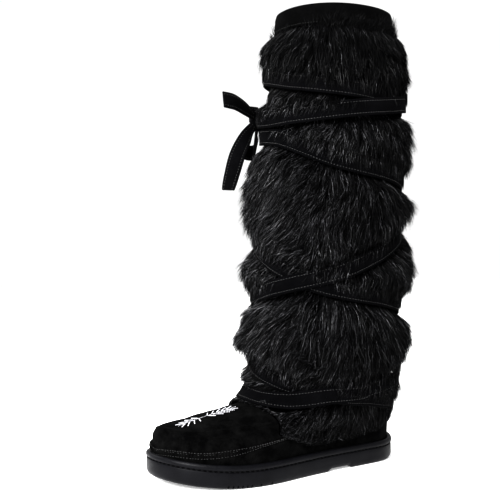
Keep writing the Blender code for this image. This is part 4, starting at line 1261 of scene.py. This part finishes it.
def build_fur():
    centres = clump_centres()
    tree = KDTree(len(centres) * 3)
    for copy, shift in ((0, 0.0), (1, FUR_GIRTH), (2, -FUR_GIRTH)):
        for i, (angle, row) in enumerate(centres):
            place = (angle / 360 * FUR_GIRTH + shift, row * FUR_HEIGHT, 0)
            tree.insert(place, i + copy * len(centres))
    tree.balance()
    for name, count, length, width, clump, material, scale, glint_shade_thinning in (
        ("fur_dark_a", 66000, 0.022, 0.00046, 0.55, HAIR_DARK, 0.96, False),
        ("fur_dark_b", 52000, 0.019, 0.00044, 0.40, HAIR_DARK, 1.0, False),
        ("fur_mid_a", 66000, 0.021, 0.00038, 0.55, HAIR_MID, 1.0, False),
        ("fur_mid_b", 40000, 0.017, 0.00036, 0.35, HAIR_MID, 1.0, False),
        # the pale strands are painted glints
        ("fur_painted_glint_a", 62000, 0.018, 0.00034, 0.45, HAIR_PAINTED_GLINT, 1.02, True),
    ):
        points, widths = strands(count, length, width, clump, centres, tree, scale, glint_shade_thinning)
        finish_piece(strand_object(name, points, widths, material), "black_fur")
    for name, count, material in (
        ("fur_over_cuff_a", 3800, HAIR_DARK), ("fur_over_cuff_b", 1500, HAIR_MID)
    ):
        points, widths = brushed_up(count, 0.00038)
        finish_piece(strand_object(name, points, widths, material), "black_fur")


# Beads


LEAF_BEADS = 8
LEAF_BEAD_RADIUS = 0.00058
STEM_BEADS = 44
STEM_BEAD_RADIUS = 0.00040
BEAD_OUT = 0.0009


def build_beads():
    length = np.linalg.norm(
        (skin(np.array(0.0), np.array(RIDGE)) - skin(np.array(0.0), np.array(ANKLE)))[:2]
    )

    across, back, sizes = [], [], []
    for row in LEAF_ROWS:
        for side in (1, -1):
            for share in (np.arange(LEAF_BEADS) + 0.5) / LEAF_BEADS:
                across.append(side * (0.001 + row.reach * length * share))
                back.append(row.back * length + 0.001 + row.sweep * length * share)
                sizes.append(LEAF_BEAD_RADIUS)
    for share in np.linspace(STEM_FRONT, STEM_BACK, STEM_BEADS):
        across.append(0.0)
        back.append(share * length)
        sizes.append(STEM_BEAD_RADIUS)
    across, back = np.array(across), np.array(back)
    level, middle = RIDGE + back / length, np.zeros(len(across))
    spread = (skin(middle + 4, level)[..., 0] - skin(middle - 4, level)[..., 0]) / 8
    angle = (across - skin(middle, level)[..., 0] - SPRAY_SIDE) / spread
    rings, around = 5, 8
    ball = []
    for lat in [-pi / 2 + pi * i / rings for i in range(rings + 1)]:
        for lon in [2 * pi * k / around for k in range(around)]:
            ball.append((cos(lat) * cos(lon), cos(lat) * sin(lon), sin(lat)))
    ball, net = np.array(ball), grid_faces(rings + 1, around, True)
    points, faces = [], []
    for n, (centre, size) in enumerate(zip(off_skin(angle, level, BEAD_OUT), sizes)):
        points.append(ball * (size * rng.uniform(0.88, 1.12)) + centre)
        faces.append(net + n * len(ball))
    made = new_object("beads", np.concatenate(points), np.concatenate(faces), BEAD)
    finish_piece(made, "white_beads", "bead_spray")


# Seams


def skin_line(level_of, out, count=900, low=-180, high=180):
    angle = np.linspace(low, high, count)
    level = level_of(angle)
    normal = skin_normal(angle, level)
    return skin(angle, level) + normal * out, normal


# Levels between which the vamp is gathered to the strip under it
SEAM_ROWS = table(
    "angle low high",
    (0, 0.42, 1.14), (10, 0.74, 1.52), (20, 0.92, 1.68), (30, 1.40, 2.06), (40, 1.98, 2.26),
    (50, 2.26, 2.42), (58, 2.34, 2.50),
)


PLEAT_PITCH, PLEAT_DEPTH = 0.0030, 0.0015
SEAM_END = 58  # degrees from the toe


def build_gathers():
    """Close upright pleats where the vamp is sewn to the strip, with three rows of stitches."""
    cols, rows = 760, 12
    angle = np.linspace(-SEAM_END, SEAM_END, cols)
    low = smooth(SEAM_ROWS, "low", np.abs(angle))
    high = smooth(SEAM_ROWS, "high", np.abs(angle))
    line = skin(angle, (low + high) / 2)
    way = way_along(line)
    drift = np.interp(way, np.linspace(0, way[-1], 60), rng.normal(size=60) * 0.9)
    phase = way / PLEAT_PITCH * pi + drift
    size = np.interp(way, np.linspace(0, way[-1], 90), rng.uniform(0.45, 1.0, 90))
    points = []
    for share in np.linspace(0, 1, rows):
        level = low + (high - low) * share
        lean = phase + 0.9 * share * np.sin(way / 0.011)
        fold = np.abs(np.sin(lean)) * size * (0.35 + 0.65 * sin(pi * min(max(share, 0.08), 0.92)))
        rim = ease(share, 0, 0.12) * (1 - ease(share, 0.88, 1.0))
        wide = ease(high - low, 0.12, 0.5)
        out = GAP + (PANEL_THICKNESS + 0.0004) * rim
        points.append(off_skin(angle, level, out + PLEAT_DEPTH * fold * rim * (0.25 + 0.75 * wide)))
    made = grid_object("toe_gathers", np.array(points), SUEDE, False, False)
    finish_piece(made, "black_suede")
    parts = []
    for share in (0.10, 0.66, 0.88):
        level = low + (high - low) * share
        normal = skin_normal(angle, level)
        line = skin(angle, level) + normal * (GAP + PANEL_THICKNESS + 0.0007)
        parts.append(stitch_row(line, normal, SUEDE_PITCH, SUEDE_STITCH, 0.00025))
    sew("seam_stitches", parts, 0.00027, GREY_THREAD, "black_suede")


def build_seams():
    build_gathers()
    line, normal = skin_line(
        lambda a: edge_level(RAND_TOP, a) - 0.16, GAP + PANEL_THICKNESS + 0.0003, 900, 95, 265
    )
    row = stitch_row(line, normal, SUEDE_PITCH, SUEDE_STITCH, 0.0001)
    sew("heel_stitches", [row], 0.00024, GREY_THREAD, "black_suede")
    ring = sole_ring(0.0006, STITCH_GROOVE_HEIGHT + STITCH_GROOVE_WIDTH / 2, 0, 900)
    ring = np.concatenate([ring, ring[:1]])
    out = ring - ring.mean(0)
    out[:, 2] = 0
    row = stitch_row(ring, unit(out), SOLE_PITCH, SOLE_STITCH)
    sew("sole_stitches", [row], 0.00050, DARK_THREAD, "sole_rubber")


build_outsole()
build_insole()
build_upper()
build_lining()
build_rand()
build_band()
build_straps()
build_undercoat()
build_fur()
build_beads()
build_seams()


# Floor, light and camera


def build_stage():
    bpy.ops.mesh.primitive_plane_add(size=8, location=(0, 0, -0.0002))
    floor = bpy.context.object
    floor.name = "floor"
    made, _, node = shader("pale_floor", (0.93, 0.93, 0.93), 0.9)
    node.inputs["Emission Color"].default_value = (1, 1, 1, 1)
    node.inputs["Emission Strength"].default_value = 0.45
    floor.data.materials.append(made)
    scene = bpy.context.scene
    scene.world = bpy.data.worlds.new("studio")
    scene.view_settings.view_transform = "Standard"
    scene.view_settings.gamma = 0.70  # the photo's deep blacks
    scene.world.use_nodes = True
    sky = scene.world.node_tree.nodes["Background"].inputs
    sky["Color"].default_value, sky["Strength"].default_value = (1, 1, 1, 1), 1.02
    for name, place, size, power in (
        ("key", (0.85, -1.60, 1.10), 0.8, 112),
        ("side", (-1.2, -1.1, 0.9), 0.8, 14),
        ("top", (0.5, -0.7, 1.7), 0.5, 20),
    ):
        data = bpy.data.lights.new(name, "AREA")
        data.size = size
        data.energy = power
        lamp = bpy.data.objects.new(name, data)
        lamp.location = place
        ahead = Vector((0, -0.05, 0.2)) - Vector(place)
        lamp.rotation_euler = ahead.to_track_quat("-Z", "Y").to_euler()
        scene.collection.objects.link(lamp)


def build_camera():
    yaw, pitch = radians(57.11), radians(0.16)
    ahead = Vector((-sin(yaw) * cos(pitch), cos(yaw) * cos(pitch), -sin(pitch)))
    data = bpy.data.cameras.new("camera")
    data.sensor_width = 36.0
    data.lens = 63.54
    data.clip_start = 0.05
    camera = bpy.data.objects.new("camera", data)
    camera.location = (0.7251, -0.5725, 0.2194)
    camera.rotation_euler = ahead.to_track_quat("-Z", "Y").to_euler()
    bpy.context.scene.collection.objects.link(camera)
    bpy.context.scene.camera = camera


build_stage()
build_camera()
